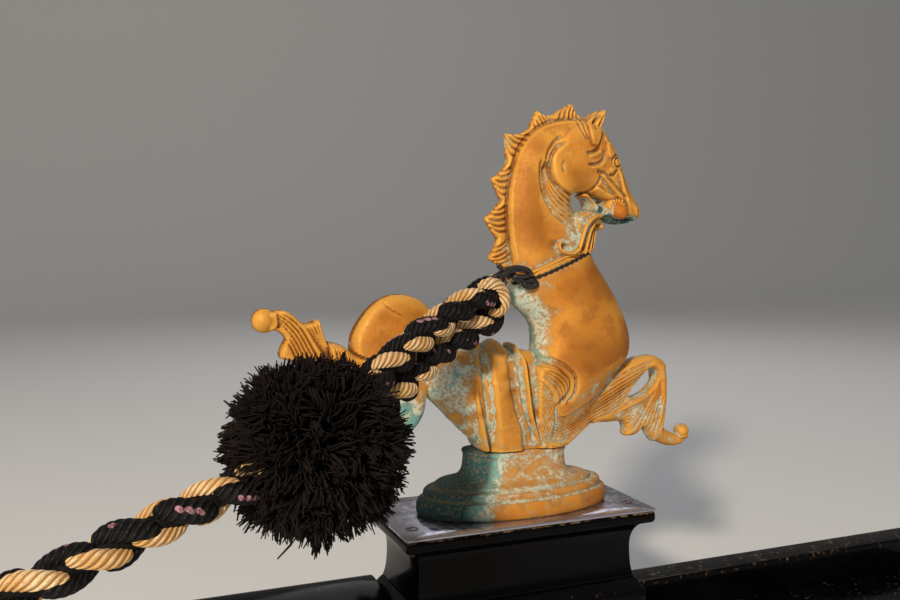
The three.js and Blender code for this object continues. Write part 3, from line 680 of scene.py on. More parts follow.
def brass_finish():
    """Weathered brass: its colour, which also paints shade into the hollows, under dabs below 0 and in the
    darkest teal, its masks for metal and gloss, and the height of its crust.
    """
    group = bpy.data.node_groups.new("weathered_shaded_brass", "ShaderNodeTree")
    for name, value in (("Green", 0.0), ("Hollows", 0.4), ("Polish", 0.5)):
        socket = group.interface.new_socket(name, in_out="INPUT", socket_type="NodeSocketFloat")
        socket.default_value = value
    group.interface.new_socket("Color", in_out="OUTPUT", socket_type="NodeSocketColor")
    for name in ("Metal", "Roughness", "Height"):
        group.interface.new_socket(name, in_out="OUTPUT", socket_type="NodeSocketFloat")
    given = put(group, "NodeGroupInput").outputs
    hollow, high, stain_and_shade = (value_of(group, name) for name in ("hollow", "high", "stain_and_shade"))
    speckle = noise(group, 520, 5.0)
    fleck = noise(group, 210, 5.0)
    blotch = noise(group, 85, 5.0)
    cloud = noise(group, 24, 3.0)
    warm = mixed(group, between(group, cloud, 0.35, 0.65), BRASS["reddish"], BRASS["golden"])
    warm = mixed(group, between(group, blotch, 0.48, 0.66, 0.0, 0.7), warm, BRASS["deep"])
    warm = mixed(group, between(group, fleck, 0.54, 0.7, 0.0, 0.35), warm, BRASS["dusty"])
    rubbed = maths(group, "MULTIPLY", high, 0.7)
    rubbed = maths(group, "ADD", rubbed, maths(group, "MULTIPLY", given["Polish"], 0.5))
    metal = mixed(group, rubbed, warm, BRASS["rubbed"])
    metal = mixed(group, between(group, speckle, 0.56, 0.74, 0.0, 0.25), metal, BRASS["pitted"])
    # Painted shade: the hollows are darkened to a deep brown.
    metal = mixed(group, maths(group, "MULTIPLY", hollow, 0.85), metal, BRASS["shade_in_hollows"])
    # Painted shade: where the dabs go below 0 the metal turns a darker brown.
    metal = mixed(group, between(group, stain_and_shade, -0.6, 0.0, 0.75, 0.0), metal, BRASS["brown_and_shade"])
    amount = maths(group, "ADD", maths(group, "MULTIPLY", hollow, given["Hollows"]), stain_and_shade)
    amount = maths(group, "ADD", amount, given["Green"])
    amount = maths(group, "SUBTRACT", amount, maths(group, "MULTIPLY", high, 0.16))
    grain = maths(group, "MULTIPLY", speckle, 0.55)
    grain = maths(group, "ADD", grain, maths(group, "MULTIPLY", blotch, 0.4))
    grain = maths(group, "ADD", grain, maths(group, "MULTIPLY", fleck, 0.65))
    spread = maths(group, "ADD", amount, grain)
    haze = between(group, spread, 0.84, 1.16, 0.0, 0.7)
    crust = between(group, spread, 1.02, 1.36)
    dull = mixed(group, cloud, BRASS["dull"], BRASS["dull_pale"])
    patina = mixed(group, between(group, noise(group, 60), 0.4, 0.6), PATINA["cream"], PATINA["mint"])
    teal = maths(group, "ADD", noise(group, 110, 2.0), maths(group, "MULTIPLY", amount, 0.5))
    patina = mixed(group, between(group, teal, 0.84, 0.98), patina, PATINA["teal"])
    # Painted shadow: the darkest teal, where the amount passes 0.95, darkens the foot's aft part, the coil's
    # lower part and the lower lip.
    patina = mixed(group, between(group, amount, 0.95, 1.4), patina, PATINA["shadow_teal"])
    patina = mixed(group, between(group, speckle, 0.36, 0.52, 0.6, 0.0), patina, PATINA["earth"])
    patina = mixed(group, maths(group, "MULTIPLY", hollow, 0.45), patina, PATINA["olive"])
    out = put(group, "NodeGroupOutput")
    shade = mixed(group, crust, mixed(group, haze, metal, dull), patina)
    group.links.new(shade, out.inputs["Color"])
    bare = maths(group, "SUBTRACT", 1.0, maths(group, "MAXIMUM", crust, haze))
    group.links.new(maths(group, "MULTIPLY", bare, 0.2), out.inputs["Metal"])
    gloss = between(group, speckle, 0.3, 0.7, 0.54, 0.72)
    group.links.new(maths(group, "ADD", gloss, maths(group, "MULTIPLY", crust, 0.3)), out.inputs["Roughness"])
    height = maths(group, "ADD", maths(group, "MULTIPLY", crust, 0.4), maths(group, "MULTIPLY", blotch, 0.5))
    group.links.new(maths(group, "ADD", height, maths(group, "MULTIPLY", speckle, 0.3)), out.inputs["Height"])
    return group


weathered_shaded_brass = brass_finish()


def brass(name, green, hollows, polish):
    """Brass, green all over by green and in its hollows by hollows, with more gold in the metal by polish."""
    material, tree, shader = new_material(name)
    finish = put(tree, "ShaderNodeGroup", node_tree=weathered_shaded_brass)
    finish.inputs["Green"].default_value = green
    finish.inputs["Hollows"].default_value = hollows
    finish.inputs["Polish"].default_value = polish
    tree.links.new(finish.outputs["Color"], shader.inputs["Base Color"])
    tree.links.new(finish.outputs["Metal"], shader.inputs["Metallic"])
    tree.links.new(finish.outputs["Roughness"], shader.inputs["Roughness"])
    tree.links.new(relief_normal(tree, finish.outputs["Height"], 0.35, 0.0012), shader.inputs["Normal"])
    shader.inputs["Specular IOR Level"].default_value = 0.3
    return material


# Painted shadow: the pom-pom's shadow on the foot's aft part is given as patina pushed into the darkest teal.
AFT_SHADOW_ON_PATINA = {"edge": -0.36, "sharpness": 2.6, "amount": 1.45}
foot_brass = brass("brass_of_the_foot", green=0.22, hollows=0.34, polish=0.3)
# Each row is the share of the foot's half-length, the height, and how far the place is a hollow.
foot_profile = [
    (0.985, 0.3, 0.3), (0.998, 1.5, 0.1), (1.004, 4, 0), (1.0, 8, 0), (0.985, 10.4, 0), (0.972, 11, 0),
    (0.935, 11.4, 0.9), (0.925, 11.9, 1.0), (0.928, 12.6, 0.6), (0.936, 14, 0), (0.93, 15.8, 0),
    (0.915, 16.8, 0), (0.87, 17.3, 0.3), (0.835, 17.6, 0.9), (0.82, 18.2, 1.0), (0.81, 19.2, 0.4),
    (0.78, 20, 0.1), (0.71, 20.7, 0.1), (0.64, 21.5, 0.1), (0.58, 22.8, 0.15), (0.54, 24.8, 0.1),
    (0.518, 27.5, 0), (0.508, 31, 0), (0.503, 36, 0), (0.503, 38, 0.4), (0.507, 38.8, 0.2),
    (0.514, 39.4, 0), (0.514, 40.6, 0), (0.508, 41.1, 0),
]
foot_angles = np.linspace(0, 2 * math.pi, FOOT["sides"], endpoint=False)
foot_cos, foot_sin = np.cos(foot_angles), np.sin(foot_angles)
foot_points = []
for share, z, _ in foot_profile:
    # The oval turns squarer from the base's top step up to the column.
    power = np.interp(z, (18, 24), (2, 3.6))
    reach = share * (np.abs(foot_cos) ** power + np.abs(foot_sin) ** power) ** (-1 / power)
    x = FOOT["x"] + FOOT["half_length"] * reach * foot_cos
    foot_points += np.stack([x, FOOT["half_depth"] * reach * foot_sin, np.full_like(x, z)], 1).tolist()
foot_faces = tube_faces(len(foot_profile), FOOT["sides"])
brass_foot = new_piece("brass_foot", above_plate(foot_points), foot_faces, foot_brass)
add_value(brass_foot, "hollow", np.repeat([row[2] for row in foot_profile], FOOT["sides"]))
aft = AFT_SHADOW_ON_PATINA["amount"] * np.clip((AFT_SHADOW_ON_PATINA["edge"] - foot_cos) * AFT_SHADOW_ON_PATINA["sharpness"], 0, 1)
foot_stain_and_shadow = [np.interp(row[1], (8, 20, 40), (-0.1, 0.04, 0.12)) + aft for row in foot_profile]
add_value(brass_foot, "stain_and_shade", np.concatenate(foot_stain_and_shadow))
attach(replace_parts(brass_foot, "brass_foot"), "horse")
tang_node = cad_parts["tang"]
tang_node.data.materials.clear()
tang_node.data.materials.append(foot_brass)

# The horse's body and forelegs
# One casting from a carved pattern: chest, rump, the folds of a fish's body, and two forelegs joined as one.
# It is worked as a relief that is the same on both sides of its middle plane. Millimetres above the plate.


def smooth_max(a, b, blend):
    """The larger of a and b, rounded over where they are within blend of each other."""
    share = np.clip(0.5 + 0.5 * (a - b) / blend, 0, 1)
    return b + (a - b) * share + blend * share * (1 - share)


def blurred(grid, reach):
    """The grid with each cell the mean of the cells within reach, twice over."""
    for _ in range(2):
        for axis in (0, 1):
            before, after = grid.take([0] * (reach + 1), axis), grid.take([-1] * reach, axis)
            total = np.cumsum(np.concatenate([before, grid, after], axis), axis)
            width = 2 * reach + 1
            upper = total.take(range(width, total.shape[axis]), axis)
            grid = (upper - total.take(range(total.shape[axis] - width), axis)) / width
    return grid


def part_way(path, share):
    """The places at shares of a path's points, from 0 to 1."""
    at = share * (len(path) - 1)
    return np.stack([np.interp(at, np.arange(len(path)), path[:, i]) for i in (0, 1)], -1)


FAINTEST_DAB = 0.02
SQUARE_END = 400
FINE = {"reach": 1.2, "hollow": 0.45, "high": 0.4}
BROAD = {"reach": 4.0, "hollow": 3.0, "high": 3.0}


class Relief:
    """A casting drawn on its middle plane. bulk is the square of its half-thickness, below 0 outside it."""

    def __init__(self, x_range, z_range, step):
        self.step = step
        self.x = np.arange(*x_range, step)
        self.z = np.arange(*z_range, step)
        self.X, self.Z = np.meshgrid(self.x, self.z, indexing="ij")
        self.bulk = np.full(self.X.shape, -900.0)
        self.cut = np.zeros(self.X.shape)
        self.stained_and_shaded = np.zeros(self.X.shape)

    def near(self, path, reach):
        """The window round a path, with each cell's distance to the path and place along it from 0 to 1."""
        low, high = path[:, :2].min(0) - reach, path[:, :2].max(0) + reach
        window = (
            slice(*np.searchsorted(self.x, (low[0], high[0]))),
            slice(*np.searchsorted(self.z, (low[1], high[1]))),
        )
        X, Z = self.X[window], self.Z[window]
        best, at = np.full(X.shape, 1e9), np.zeros(X.shape)
        for n, (a, b) in enumerate(zip(path[:-1, :2], path[1:, :2])):
            way = b - a
            t = np.clip(((X - a[0]) * way[0] + (Z - a[1]) * way[1]) / max(way @ way, 1e-9), 0, 1)
            away = np.hypot(X - a[0] - t * way[0], Z - a[1] - t * way[1])
            closer = away < best
            best[closer], at[closer] = away[closer], (n + t[closer]) / (len(path) - 1)
        return window, best, at

    def inwards(self, outline, reach):
        """The window round a closed outline, and each cell's distance inside it, below 0 outside."""
        loop = np.vstack([outline, outline[:1]])
        window, away, _ = self.near(loop, reach)
        X, Z = self.X[window], self.Z[window]
        inside = np.zeros(X.shape, bool)
        for a, b in zip(loop[:-1], loop[1:]):
            if a[1] != b[1]:
                spans = (a[1] > Z) != (b[1] > Z)
                inside ^= spans & (X < (b[0] - a[0]) * (Z - a[1]) / (b[1] - a[1]) + a[0])
        return window, np.where(inside, away, -away)

    def limb(self, rows, blend=60.0):
        """A rounded limb. Each row is x, z, half-width and half-thickness."""
        path = spline(rows, per=6)
        window, away, at = self.near(path, 1.5 * path[:, 2].max())
        place = at * (len(path) - 1)
        wide, thick = (np.interp(place, np.arange(len(path)), path[:, i]) for i in (2, 3))
        self.bulk[window] = smooth_max(self.bulk[window], thick**2 * (1 - (away / wide) ** 2), blend)

    def panel(self, outline, half, rim, blend=60.0, curved=True, soften=0):
        """A form that fills an outline, rounded over its rim. half and rim may be functions of x and z."""
        outline = spline(outline, closed=True, per=6) if curved else np.array(outline, float)
        window, inward = self.inwards(outline, 12.0)
        half, rim = (v(self.X[window], self.Z[window]) if callable(v) else v for v in (half, rim))
        inner = 1 - (1 - np.clip(inward / rim, 0, 1)) ** 2
        bulk = half**2 * np.where(inward > 0, inner, 2 * inward / rim)
        if soften:
            bulk = blurred(bulk, round(soften / self.step))
        self.bulk[window] = smooth_max(self.bulk[window], bulk, blend)

    def hole(self, outline, half, rim, curved=True):
        """Opens a hole right through, with rounded sides."""
        outline = spline(outline, closed=True, per=6) if curved else np.array(outline, float)
        window, inward = self.inwards(outline, 8.0)
        outward = -inward
        side = half**2 * np.where(outward > 0, 1 - (1 - np.clip(outward / rim, 0, 1)) ** 2, 2 * outward / rim)
        self.bulk[window] = -smooth_max(-self.bulk[window], -np.where(outward > rim, 900.0, side), 8.0)

    def end_flat(self, inside):
        """Ends the casting squarely where inside, each cell's millimetres within the end, goes below 0."""
        self.bulk = np.minimum(self.bulk, SQUARE_END * inside)

    def groove(self, points, depth, width, fade=0.15):
        """Cuts a groove along a curve, or raises a ridge if depth is below 0. It fades out at both ends."""
        path = spline(points, per=6)
        window, away, at = self.near(path, 3 * width)
        ends = np.clip(np.minimum(at, 1 - at) / fade, 0, 1) if fade else 1.0
        self.cut[window] += depth * ends * np.exp(-((away / width) ** 2))

    def flutes(self, first, last, count, depth, width, fade=0.12):
        """Grooves that lie side by side between two guide curves."""
        first, last = (part_way(spline(guide, per=6), np.linspace(0, 1, 17)) for guide in (first, last))
        for share in (np.arange(count) + 0.5) / count:
            self.groove(first + (last - first) * share, depth, width, fade)

    def rays(self, inner, outer, count, depth, width, fade=0.12):
        """Grooves that cross the strip between two guide curves."""
        inner, outer = spline(inner, per=6), spline(outer, per=6)
        for share in (np.arange(count) + 0.5) / count:
            self.groove([part_way(inner, share), part_way(outer, share)], depth, width, fade)

    def raised(self, outline, height, rim):
        """Lifts the face inside an outline, over a soft edge."""
        window, inward = self.inwards(spline(outline, closed=True, per=6), 2.0)
        t = np.clip(inward / rim, 0, 1)
        self.cut[window] -= height * t * t * (3 - 2 * t)

    def stain_and_shade(self, spots, amount):
        """Dabs of patina, or of darker brown metal where the amount is negative; that darker brown is painted
        shade on the chest, the belly, the neck and the coil. Each is x, z and radius.
        """
        for x, z, radius in spots:
            dab = amount * np.exp(-((self.X - x) ** 2 + (self.Z - z) ** 2) / radius**2)
            if amount < 0:
                self.stained_and_shaded = self.stained_and_shaded + dab
            else:
                self.stained_and_shaded = np.where(dab > np.maximum(self.stained_and_shaded, FAINTEST_DAB), dab, self.stained_and_shaded)

    def piece(self, name, material, half, y=0.0, most=165000):
        """Meshes the relief with one vertex to each cell that its surface crosses, and thins it to at most so
        many triangles. Then it adds the values that the material reads."""
        ys = np.arange(-half, half + self.step, self.step)
        depth = np.maximum(np.abs(ys)[None, :, None] + self.cut[:, None, :], 0)
        field = (self.bulk[:, None, :] - depth**2).astype(np.float32)
        field[:, :1], field[:, -1:] = -1.0, -1.0
        inside = field > 0
        shape = tuple(n - 1 for n in field.shape)
        corners = [(a, b, c) for a in (0, 1) for b in (0, 1) for c in (0, 1)]

        def shifted(grid, corner):
            return grid[tuple(slice(o, o + n) for o, n in zip(corner, shape))]

        filled = sum(shifted(inside, c).astype(np.int8) for c in corners)
        cells = np.argwhere((filled > 0) & (filled < 8))
        number = np.full(shape, -1, np.int32)
        number[tuple(cells.T)] = np.arange(len(cells))
        total, crossings = np.zeros((len(cells), 3)), np.zeros(len(cells))
        for a in corners:
            for axis in range(3):
                if a[axis]:
                    continue
                b = tuple(1 if i == axis else o for i, o in enumerate(a))
                fa, fb = (field[tuple((cells + c).T)] for c in (a, b))
                crossed = (fa > 0) != (fb > 0)
                t = fa[crossed] / (fa[crossed] - fb[crossed])
                total[crossed] += np.array(a) + t[:, None] * (np.array(b) - np.array(a))
                crossings[crossed] += 1
        spots = cells + total / crossings[:, None]
        faces = []
        for axis in range(3):
            u, v = (axis + 1) % 3, (axis + 2) % 3
            here = [slice(1, -1)] * 3
            here[axis] = slice(None, -1)
            ahead = list(here)
            ahead[axis] = slice(1, None)
            changed = np.argwhere(inside[tuple(here)] != inside[tuple(ahead)])
            changed[:, [u, v]] += 1
            leaving = inside[tuple(changed.T)]
            around = []
            for du, dv in ((-1, -1), (0, -1), (0, 0), (-1, 0)):
                cell = changed.copy()
                cell[:, u] += du
                cell[:, v] += dv
                around.append(number[tuple(cell.T)])
            quads = np.stack(around, 1)
            quads[~leaving] = quads[~leaving][:, ::-1]
            faces.append(quads)
        faces = np.vstack(faces)
        places = np.array((self.x[0], ys[0] + y, self.z[0])) + spots * self.step
        mesh = bpy.data.meshes.new(name)
        mesh.from_pydata(above_plate(places).tolist(), [], faces.tolist())
        mesh.materials.append(material)
        piece = bpy.data.objects.new(name, mesh)
        bpy.context.scene.collection.objects.link(piece)
        thinner = piece.modifiers.new("thinner", "DECIMATE")
        thinner.ratio = min(1.0, most / (2 * len(faces)))
        shown = bpy.context.evaluated_depsgraph_get()
        piece.data = bpy.data.meshes.new_from_object(piece.evaluated_get(shown), depsgraph=shown)
        piece.data.name = name
        piece.data.shade_smooth()
        piece.modifiers.remove(thinner)
        kept = np.empty(3 * len(piece.data.vertices))
        piece.data.vertices.foreach_get("co", kept)
        spots = (kept.reshape(-1, 3) / MM - (self.x[0], 0, PLATE_TOP / MM + self.z[0])) / self.step
        thick = np.sqrt(np.maximum(self.bulk, 0)) - self.cut
        fine, broad = (blurred(thick, round(scale["reach"] / self.step)) - thick for scale in (FINE, BROAD))
        hollow = np.clip(fine / FINE["hollow"], 0, 1) + np.clip(broad / BROAD["hollow"], 0, 0.5)
        high = np.clip(-fine / FINE["high"], 0, 1) * 0.8 + np.clip(-broad / BROAD["high"], 0, 0.3)
        ix, iz = (np.clip(np.round(spots[:, i]).astype(int), 0, self.bulk.shape[i // 2] - 1) for i in (0, 2))
        add_value(piece, "hollow", np.clip(hollow, 0, 1)[ix, iz])
        add_value(piece, "high", np.clip(high, 0, 1)[ix, iz])
        add_value(piece, "stain_and_shade", self.stained_and_shaded[ix, iz])
        return piece


# In millimetres: where the forelegs leave the body, the height at which it stands on the foot, and how far
# it goes up inside the collar
LEGS_FROM = 58.0
BODY_BASE = 41.3
COLLAR_LAP = 4.0
body_brass = brass("brass_of_the_body", green=0.06, hollows=0.4, polish=0.2)


def collar_line(x):
    """The height of the collar's lower edge over x."""
    return np.interp(x, (-12, -3, 12, 27, 39, 49, 66), (154, 157, 161, 167.3, 171, 174, 176.5))


body = Relief((-66, 156), (28, 184), step=0.55)
body.panel([
    (-8, 172), (-5, 158), (-1.5, 148), (3.5, 139), (10.5, 133), (16, 127), (18, 117), (16, 102), (4, 92),
    (-2, 74), (0, 50), (4, 34), (24, 30), (40, 34), (52, 50), (66, 66), (74, 80), (81, 88.5), (90, 97),
    (93.5, 108.5), (91.5, 122), (84, 139), (73.5, 156), (63.5, 170), (54, 184), (10, 186),
], lambda x, z: np.interp(z, (41, 60, 90, 125, 165), (17.5, 22, 25, 26, 24)), 34, soften=3)
body.panel([
    (-63, 84), (-50, 70.5), (-38, 57), (-23, 44), (-12, 34), (24, 34), (32, 70), (22, 104), (0, 110),
    (-22, 112), (-42, 110), (-58, 102), (-66, 93),
], lambda x, z: np.interp(z, (41, 60, 90), (16.5, 20, 21)), 26, soften=3)
body.limb([(-34, 84, 22, 18), (-48, 92, 17, 16), (-60, 102, 15, 15)], 90)
# The folds: the broad one, the small one behind it and the rib before the shoulder
body.panel([
    (-23.5, 110.5), (-19.5, 114.5), (-14, 117.5), (-8, 114.5), (-4, 109), (-4.8, 102), (-5.2, 88),
    (-2.4, 77), (0.6, 68), (4.6, 59), (6.4, 48), (6, 36), (-18.5, 36), (-20.4, 46.5), (-23.6, 65.7),
    (-26.1, 81.8), (-27.4, 94), (-26.4, 104),
], lambda x, z: np.interp(z, (41, 60, 90, 116), (18.6, 22.6, 24.6, 12)), 8, 8)
body.limb([
    (-26.5, 114.5, 3.4, 7), (-30.5, 105, 4.4, 16), (-32.8, 94, 4.8, 20), (-32, 80, 4.8, 21.4),
    (-29, 67, 4.2, 20.8), (-25.4, 54, 3.2, 18.8), (-22.4, 44, 2.4, 17),
], 8)
body.limb([
    (0.5, 112, 2.2, 10), (1.8, 104, 2.6, 21.5), (3, 88, 2.7, 25), (5.6, 70, 2.9, 25), (10, 58, 3, 22.6),
    (15.4, 46, 2.8, 19),
], 6)
body.groove([(-25.6, 112), (-28.4, 100), (-28, 88), (-25.8, 76), (-23.2, 62), (-20.4, 46)], 2.0, 1.1, 0.05)
body.groove([(4.4, 108), (5.4, 88.6), (8.9, 67.7), (13.9, 54), (18.9, 43)], 2.4, 1.1, 0.05)
body.groove([(-1.6, 107), (-0.6, 88), (1.2, 74), (5.4, 62), (11, 48)], 1.8, 1.1, 0.05)
# The shoulder's lobe and the hair that sweeps down it to the elbow
body.panel([
    (9, 97), (14, 101.5), (21, 102), (29, 98.6), (36, 92), (37.6, 85.4), (36, 79), (31, 74.6), (27.4, 70),
    (28, 60), (27, 48), (24, 40), (15, 40), (11, 54), (9, 70),
], lambda x, z: np.interp(z, (41, 60, 90), (18.2, 23.4, 26)), 5, 10)
body.groove([
    (12, 103.4), (22, 104), (31, 100), (38.6, 92.5), (39.8, 85), (38, 78), (32, 72.6),
], 1.8, 1.2, 0.1)
# The forelegs
body.panel([
    (18, 74), (37, 68), (56.5, 78), (80, 89.5), (98.6, 98), (111.4, 100), (120, 97), (125.6, 88),
    (126.5, 75), (126, 61.6), (125, 47.5), (123, 38), (116.8, 35.6), (112, 41), (107.5, 46), (101, 42),
    (92.5, 42), (92, 48), (88, 52.6), (76, 53), (62.5, 54), (59, 51.5), (48, 45), (37, 38.5), (20, 34),
], lambda x, z: np.interp(x, (30, 60, 90, 125), (20, 12, 8.5, 7)), 6, 40)
body.limb([
    (20, 60, 19, 23), (34, 59, 13.5, 19.5), (54, 67, 10.5, 14.5), (78, 79, 9.5, 12), (100, 90, 8, 10.5),
    (113, 93.5, 6.5, 9.5), (120, 91, 6, 9),
], 30)
body.limb([(120, 91, 6, 9), (122.5, 80, 4.5, 9), (122.5, 62, 4.5, 8.5), (120.5, 46, 4.5, 8)], 20)
body.limb([
    (64, 55.5, 2.2, 9), (76, 58.5, 3, 10), (88, 63.5, 3.2, 10), (103, 69.5, 3.2, 9.5), (113, 78, 2.6, 9),
], 8)
body.hole([(93.5, 71.6), (101.2, 81.6), (110.8, 90.8), (117.4, 88), (116, 78.6), (105, 70.6)], 9.5, 2.6)
body.limb([
    (119, 43, 6, 7.5), (126, 38.6, 5.6, 6.6), (133, 35.8, 5, 6), (139.5, 35.6, 4.4, 5.6),
    (145, 38.2, 3.8, 5.2),
], 14)
body.limb([(143.2, 41.3, 5.2, 6.2), (143.6, 41.4, 5.2, 6.2)], 2)
body.groove([(137.6, 44), (138.6, 39), (142.4, 35.8), (147, 36)], 1.6, 1.1, 0.1)
# The hair: it curls round the lobe's top, and lower down it turns at the elbow and runs out along the leg.
body.flutes(
    [(9.5, 99.4), (16, 100.6), (27, 97.4), (34.4, 91.4), (35.8, 85), (34.6, 79.8), (30.4, 75.6)],
    [(9.5, 93.6), (17, 90.5), (23, 84), (25.6, 79), (26.8, 75), (27.2, 73), (27.3, 72)],
    5, 1.5, 0.75, 0.06,
)
body.flutes(
    [
        (10, 91), (16, 88), (21.8, 81), (24.3, 75), (26.4, 68.3), (30, 64.4), (37, 65), (46.5, 69.6),
        (62, 77), (80, 87), (100, 95), (114, 98),
    ],
    [
        (9.4, 71), (11, 66), (13, 59), (16.4, 52), (22, 46.6), (30, 45.4), (38, 46.6), (48, 50.6), (60, 56),
        (74, 60), (88, 67), (98, 76),
    ],
    9, 1.5, 0.8, 0.04,
)
body.groove([(22, 43.4), (30, 42.2), (40, 43.4), (52, 49), (58, 53)], 1.2, 0.8, 0.1)
body.flutes(
    [(118, 84), (112, 70), (103, 58), (94, 46)],
    [(124.5, 84), (125, 70), (123.5, 54), (120, 39)],
    7, 0.9, 0.8, 0.08,
)
body.flutes(
    [(114, 76), (104, 66), (88, 59), (74, 55.5)],
    [(116, 74), (107, 61), (97, 53), (91, 48)],
    4, 0.7, 0.7, 0.1,
)
body.rays([(124, 46), (131, 43.5), (138, 42)], [(122, 37), (130, 34.5), (138, 33)], 6, 0.5, 0.6)
body.end_flat(np.where(body.X < LEGS_FROM, body.Z - BODY_BASE, np.inf))
body.end_flat(collar_line(body.X) + COLLAR_LAP - body.Z)
body.stain_and_shade([
    (-6, 160, 9), (0, 150, 10), (6, 141, 10), (12, 133, 10), (17, 125, 9), (19, 116, 9), (19, 106, 7),
], 0.72)
body.stain_and_shade([(16, 150, 12), (24, 162, 8), (32, 166, 7), (42, 170, 7), (54, 174, 6), (28, 136, 13)], 0.27)
body.stain_and_shade([
    (-3, 108, 5), (-2.4, 98, 3.6), (-2, 88, 3.6), (-0.4, 77, 3.6), (3, 67, 3.6), (7.6, 57, 3.6),
    (11, 47, 4), (-8, 116, 5),
], 0.6)
body.stain_and_shade([
    (7, 100, 4), (8, 88, 4), (10.6, 76, 4), (14, 62, 4), (18, 52, 4), (16, 86, 7), (-23, 96, 4),
    (-22, 84, 4), (-18, 52, 4),
], 0.34)
body.stain_and_shade([
    (-17, 112, 6), (-16, 100, 5), (-16, 56, 7), (-14, 46, 7), (-4, 46, 7), (4, 44, 7), (-2, 62, 6),
    (-12, 88, 4),
], 0.3)
body.stain_and_shade([(20, 46, 8), (32, 43, 8), (46, 47, 6), (24, 58, 5), (36, 52, 5)], 0.36)
body.stain_and_shade([
    (-40, 98, 8), (-42, 86, 8), (-38, 72, 6), (-44, 76, 8), (-50, 74, 8), (-38, 60, 7), (-29, 49, 7),
    (-32, 112, 7),
], 0.5)
body.stain_and_shade([
    (-27, 95, 4), (-31, 99, 5), (-26, 104, 5), (-20, 61, 5), (-19, 52, 5), (-22, 72, 3), (1, 54, 4),
    (-5, 92, 3),
], 0.45)
body.stain_and_shade([(-52, 92, 12), (-60, 84, 10), (-46, 98, 8)], 0.7)
# Painted shade: the chest and the belly are darkened towards brown.
body.stain_and_shade([
    (38, 103, 13), (52, 103, 12), (68, 104, 12), (84, 108, 12), (88, 124, 9), (74, 150, 9), (60, 162, 8),
], -0.4)
body.stain_and_shade([(49, 128, 26), (50, 154, 18), (30, 152, 10), (32, 122, 9)], -0.26)
body.stain_and_shade([
    (-9, 58, 6), (-11, 70, 6), (-12, 82, 6), (-13, 94, 6), (-8, 49, 5), (-33, 84, 4), (-30, 70, 4),
    (9, 66, 4),
], -0.5)
body.stain_and_shade([
    (40, 58, 8), (54, 66, 8), (70, 72, 7), (84, 78, 6), (20, 86, 6), (28, 92, 6), (120, 90, 5),
    (122, 70, 5),
], -0.3)
body.stain_and_shade([(46, 74, 7), (58, 82, 7), (70, 88, 6), (80, 94, 5), (40, 66, 5)], 0.3)
body.stain_and_shade([
    (94, 71, 5), (101, 80, 4), (110, 89, 4), (117, 86, 4), (106, 72, 5), (112, 80, 4), (84, 58, 6),
    (70, 54, 5),
], 0.42)
body.stain_and_shade([
    (98, 60, 8), (106, 54, 8), (115, 46, 7), (98, 47, 6), (117, 39, 6), (130, 37, 7), (120, 62, 6),
], 0.34)
horse_body = body.piece("horse_body", body_brass, half=27)
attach(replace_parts(horse_body, "torso", "forelegs"), "horse")

# The tail
# The body narrows into a flat coil, and a ribbed fin runs off it to a fluke that ends in a ball.
# It is cast with the body, and its face is polished by hands.
tail = Relief((-177, -30), (48, 154), step=0.6)
tail.panel([
    (-113.8, 112), (-113.5, 121), (-110, 130), (-102.5, 140), (-94, 146.5), (-84.5, 149.5), (-74, 148.5),
    (-64, 144), (-56, 134), (-51.5, 120), (-53, 105), (-58, 92), (-61.7, 80.7), (-63, 71.4), (-67.4, 62.4),
    (-76, 56.4), (-88, 57), (-100, 66), (-109, 82), (-113, 98),
], lambda x, z: 6 + 7 * np.clip(1 - ((x + 84) ** 2 + (z - 106) ** 2) / 45**2, 0, 1), 4.5, soften=1)
tail.limb([(-32, 84, 18, 16), (-46, 90, 16, 15), (-58, 102, 14, 15)], 60)
tail.groove([(-60, 96), (-66, 110), (-78, 116), (-90, 110), (-95, 98), (-90, 86), (-80, 84)], 1.6, 2.4, 0.3)
tail.limb([
    (-96, 92, 8, 17), (-110, 100, 9, 15.5), (-122, 106, 8, 11), (-136, 116, 7, 8), (-148, 126, 6, 6.4),
], 12)
tail.panel([
    (-168, 138.5), (-163, 141.2), (-155, 141), (-149, 137), (-144.4, 133), (-139, 133.4), (-134.3, 134.6),
    (-132.3, 127.5), (-130, 121), (-127, 113), (-124, 98), (-136, 102), (-148, 108), (-159, 111.5),
    (-158.5, 118), (-156, 123.6), (-161, 128.6), (-166, 129),
], lambda x, z: np.interp(x, (-168, -150, -124), (6.6, 8, 10.5)), 2.2, 6)
tail.panel([
    (-130, 119), (-124.5, 119.6), (-119, 117.5), (-111.7, 112.5), (-101, 108), (-96, 98), (-106, 92),
    (-118, 98), (-128, 106),
], 15.5, 3.5, 8)
tail.limb([(-168.6, 135.2, 7.7, 7.7), (-168.4, 135.2, 7.7, 7.7)], 2)
tail.groove([(-165, 127.2), (-161.8, 129.8), (-160, 133)], 1.2, 0.8, 0.2)
tail.flutes(
    [(-162, 141.6), (-156, 139.6), (-150, 135.4), (-145, 129.6), (-140.8, 122), (-136.6, 114), (-133, 106)],
    [(-160.6, 131), (-158.6, 126.6), (-155.6, 121), (-153, 116), (-150.6, 110), (-149, 105), (-148, 100)],
    6, 1.8, 0.8, 0.03,
)
tail.flutes(
    [(-147, 135), (-143.4, 130), (-139.4, 123), (-135, 116), (-131, 109)],
    [(-134.8, 134), (-133.4, 127), (-131.4, 121), (-128.8, 114), (-126, 107)],
    4, 1.7, 0.8, 0.03,
)
tail.rays(
    [(-125, 106), (-115, 101), (-107, 96), (-100, 92)],
    [(-128, 120), (-119, 118), (-111.5, 113), (-101, 109)],
    13, 2.2, 0.8, 0.03,
)
tail.groove([(-93.5, 146), (-90, 141.5), (-85, 138.2), (-79, 135.5)], 0.6, 0.5)
tail.stain_and_shade([(-112, 118, 3), (-106, 113, 3), (-100, 109, 3)], 0.4)
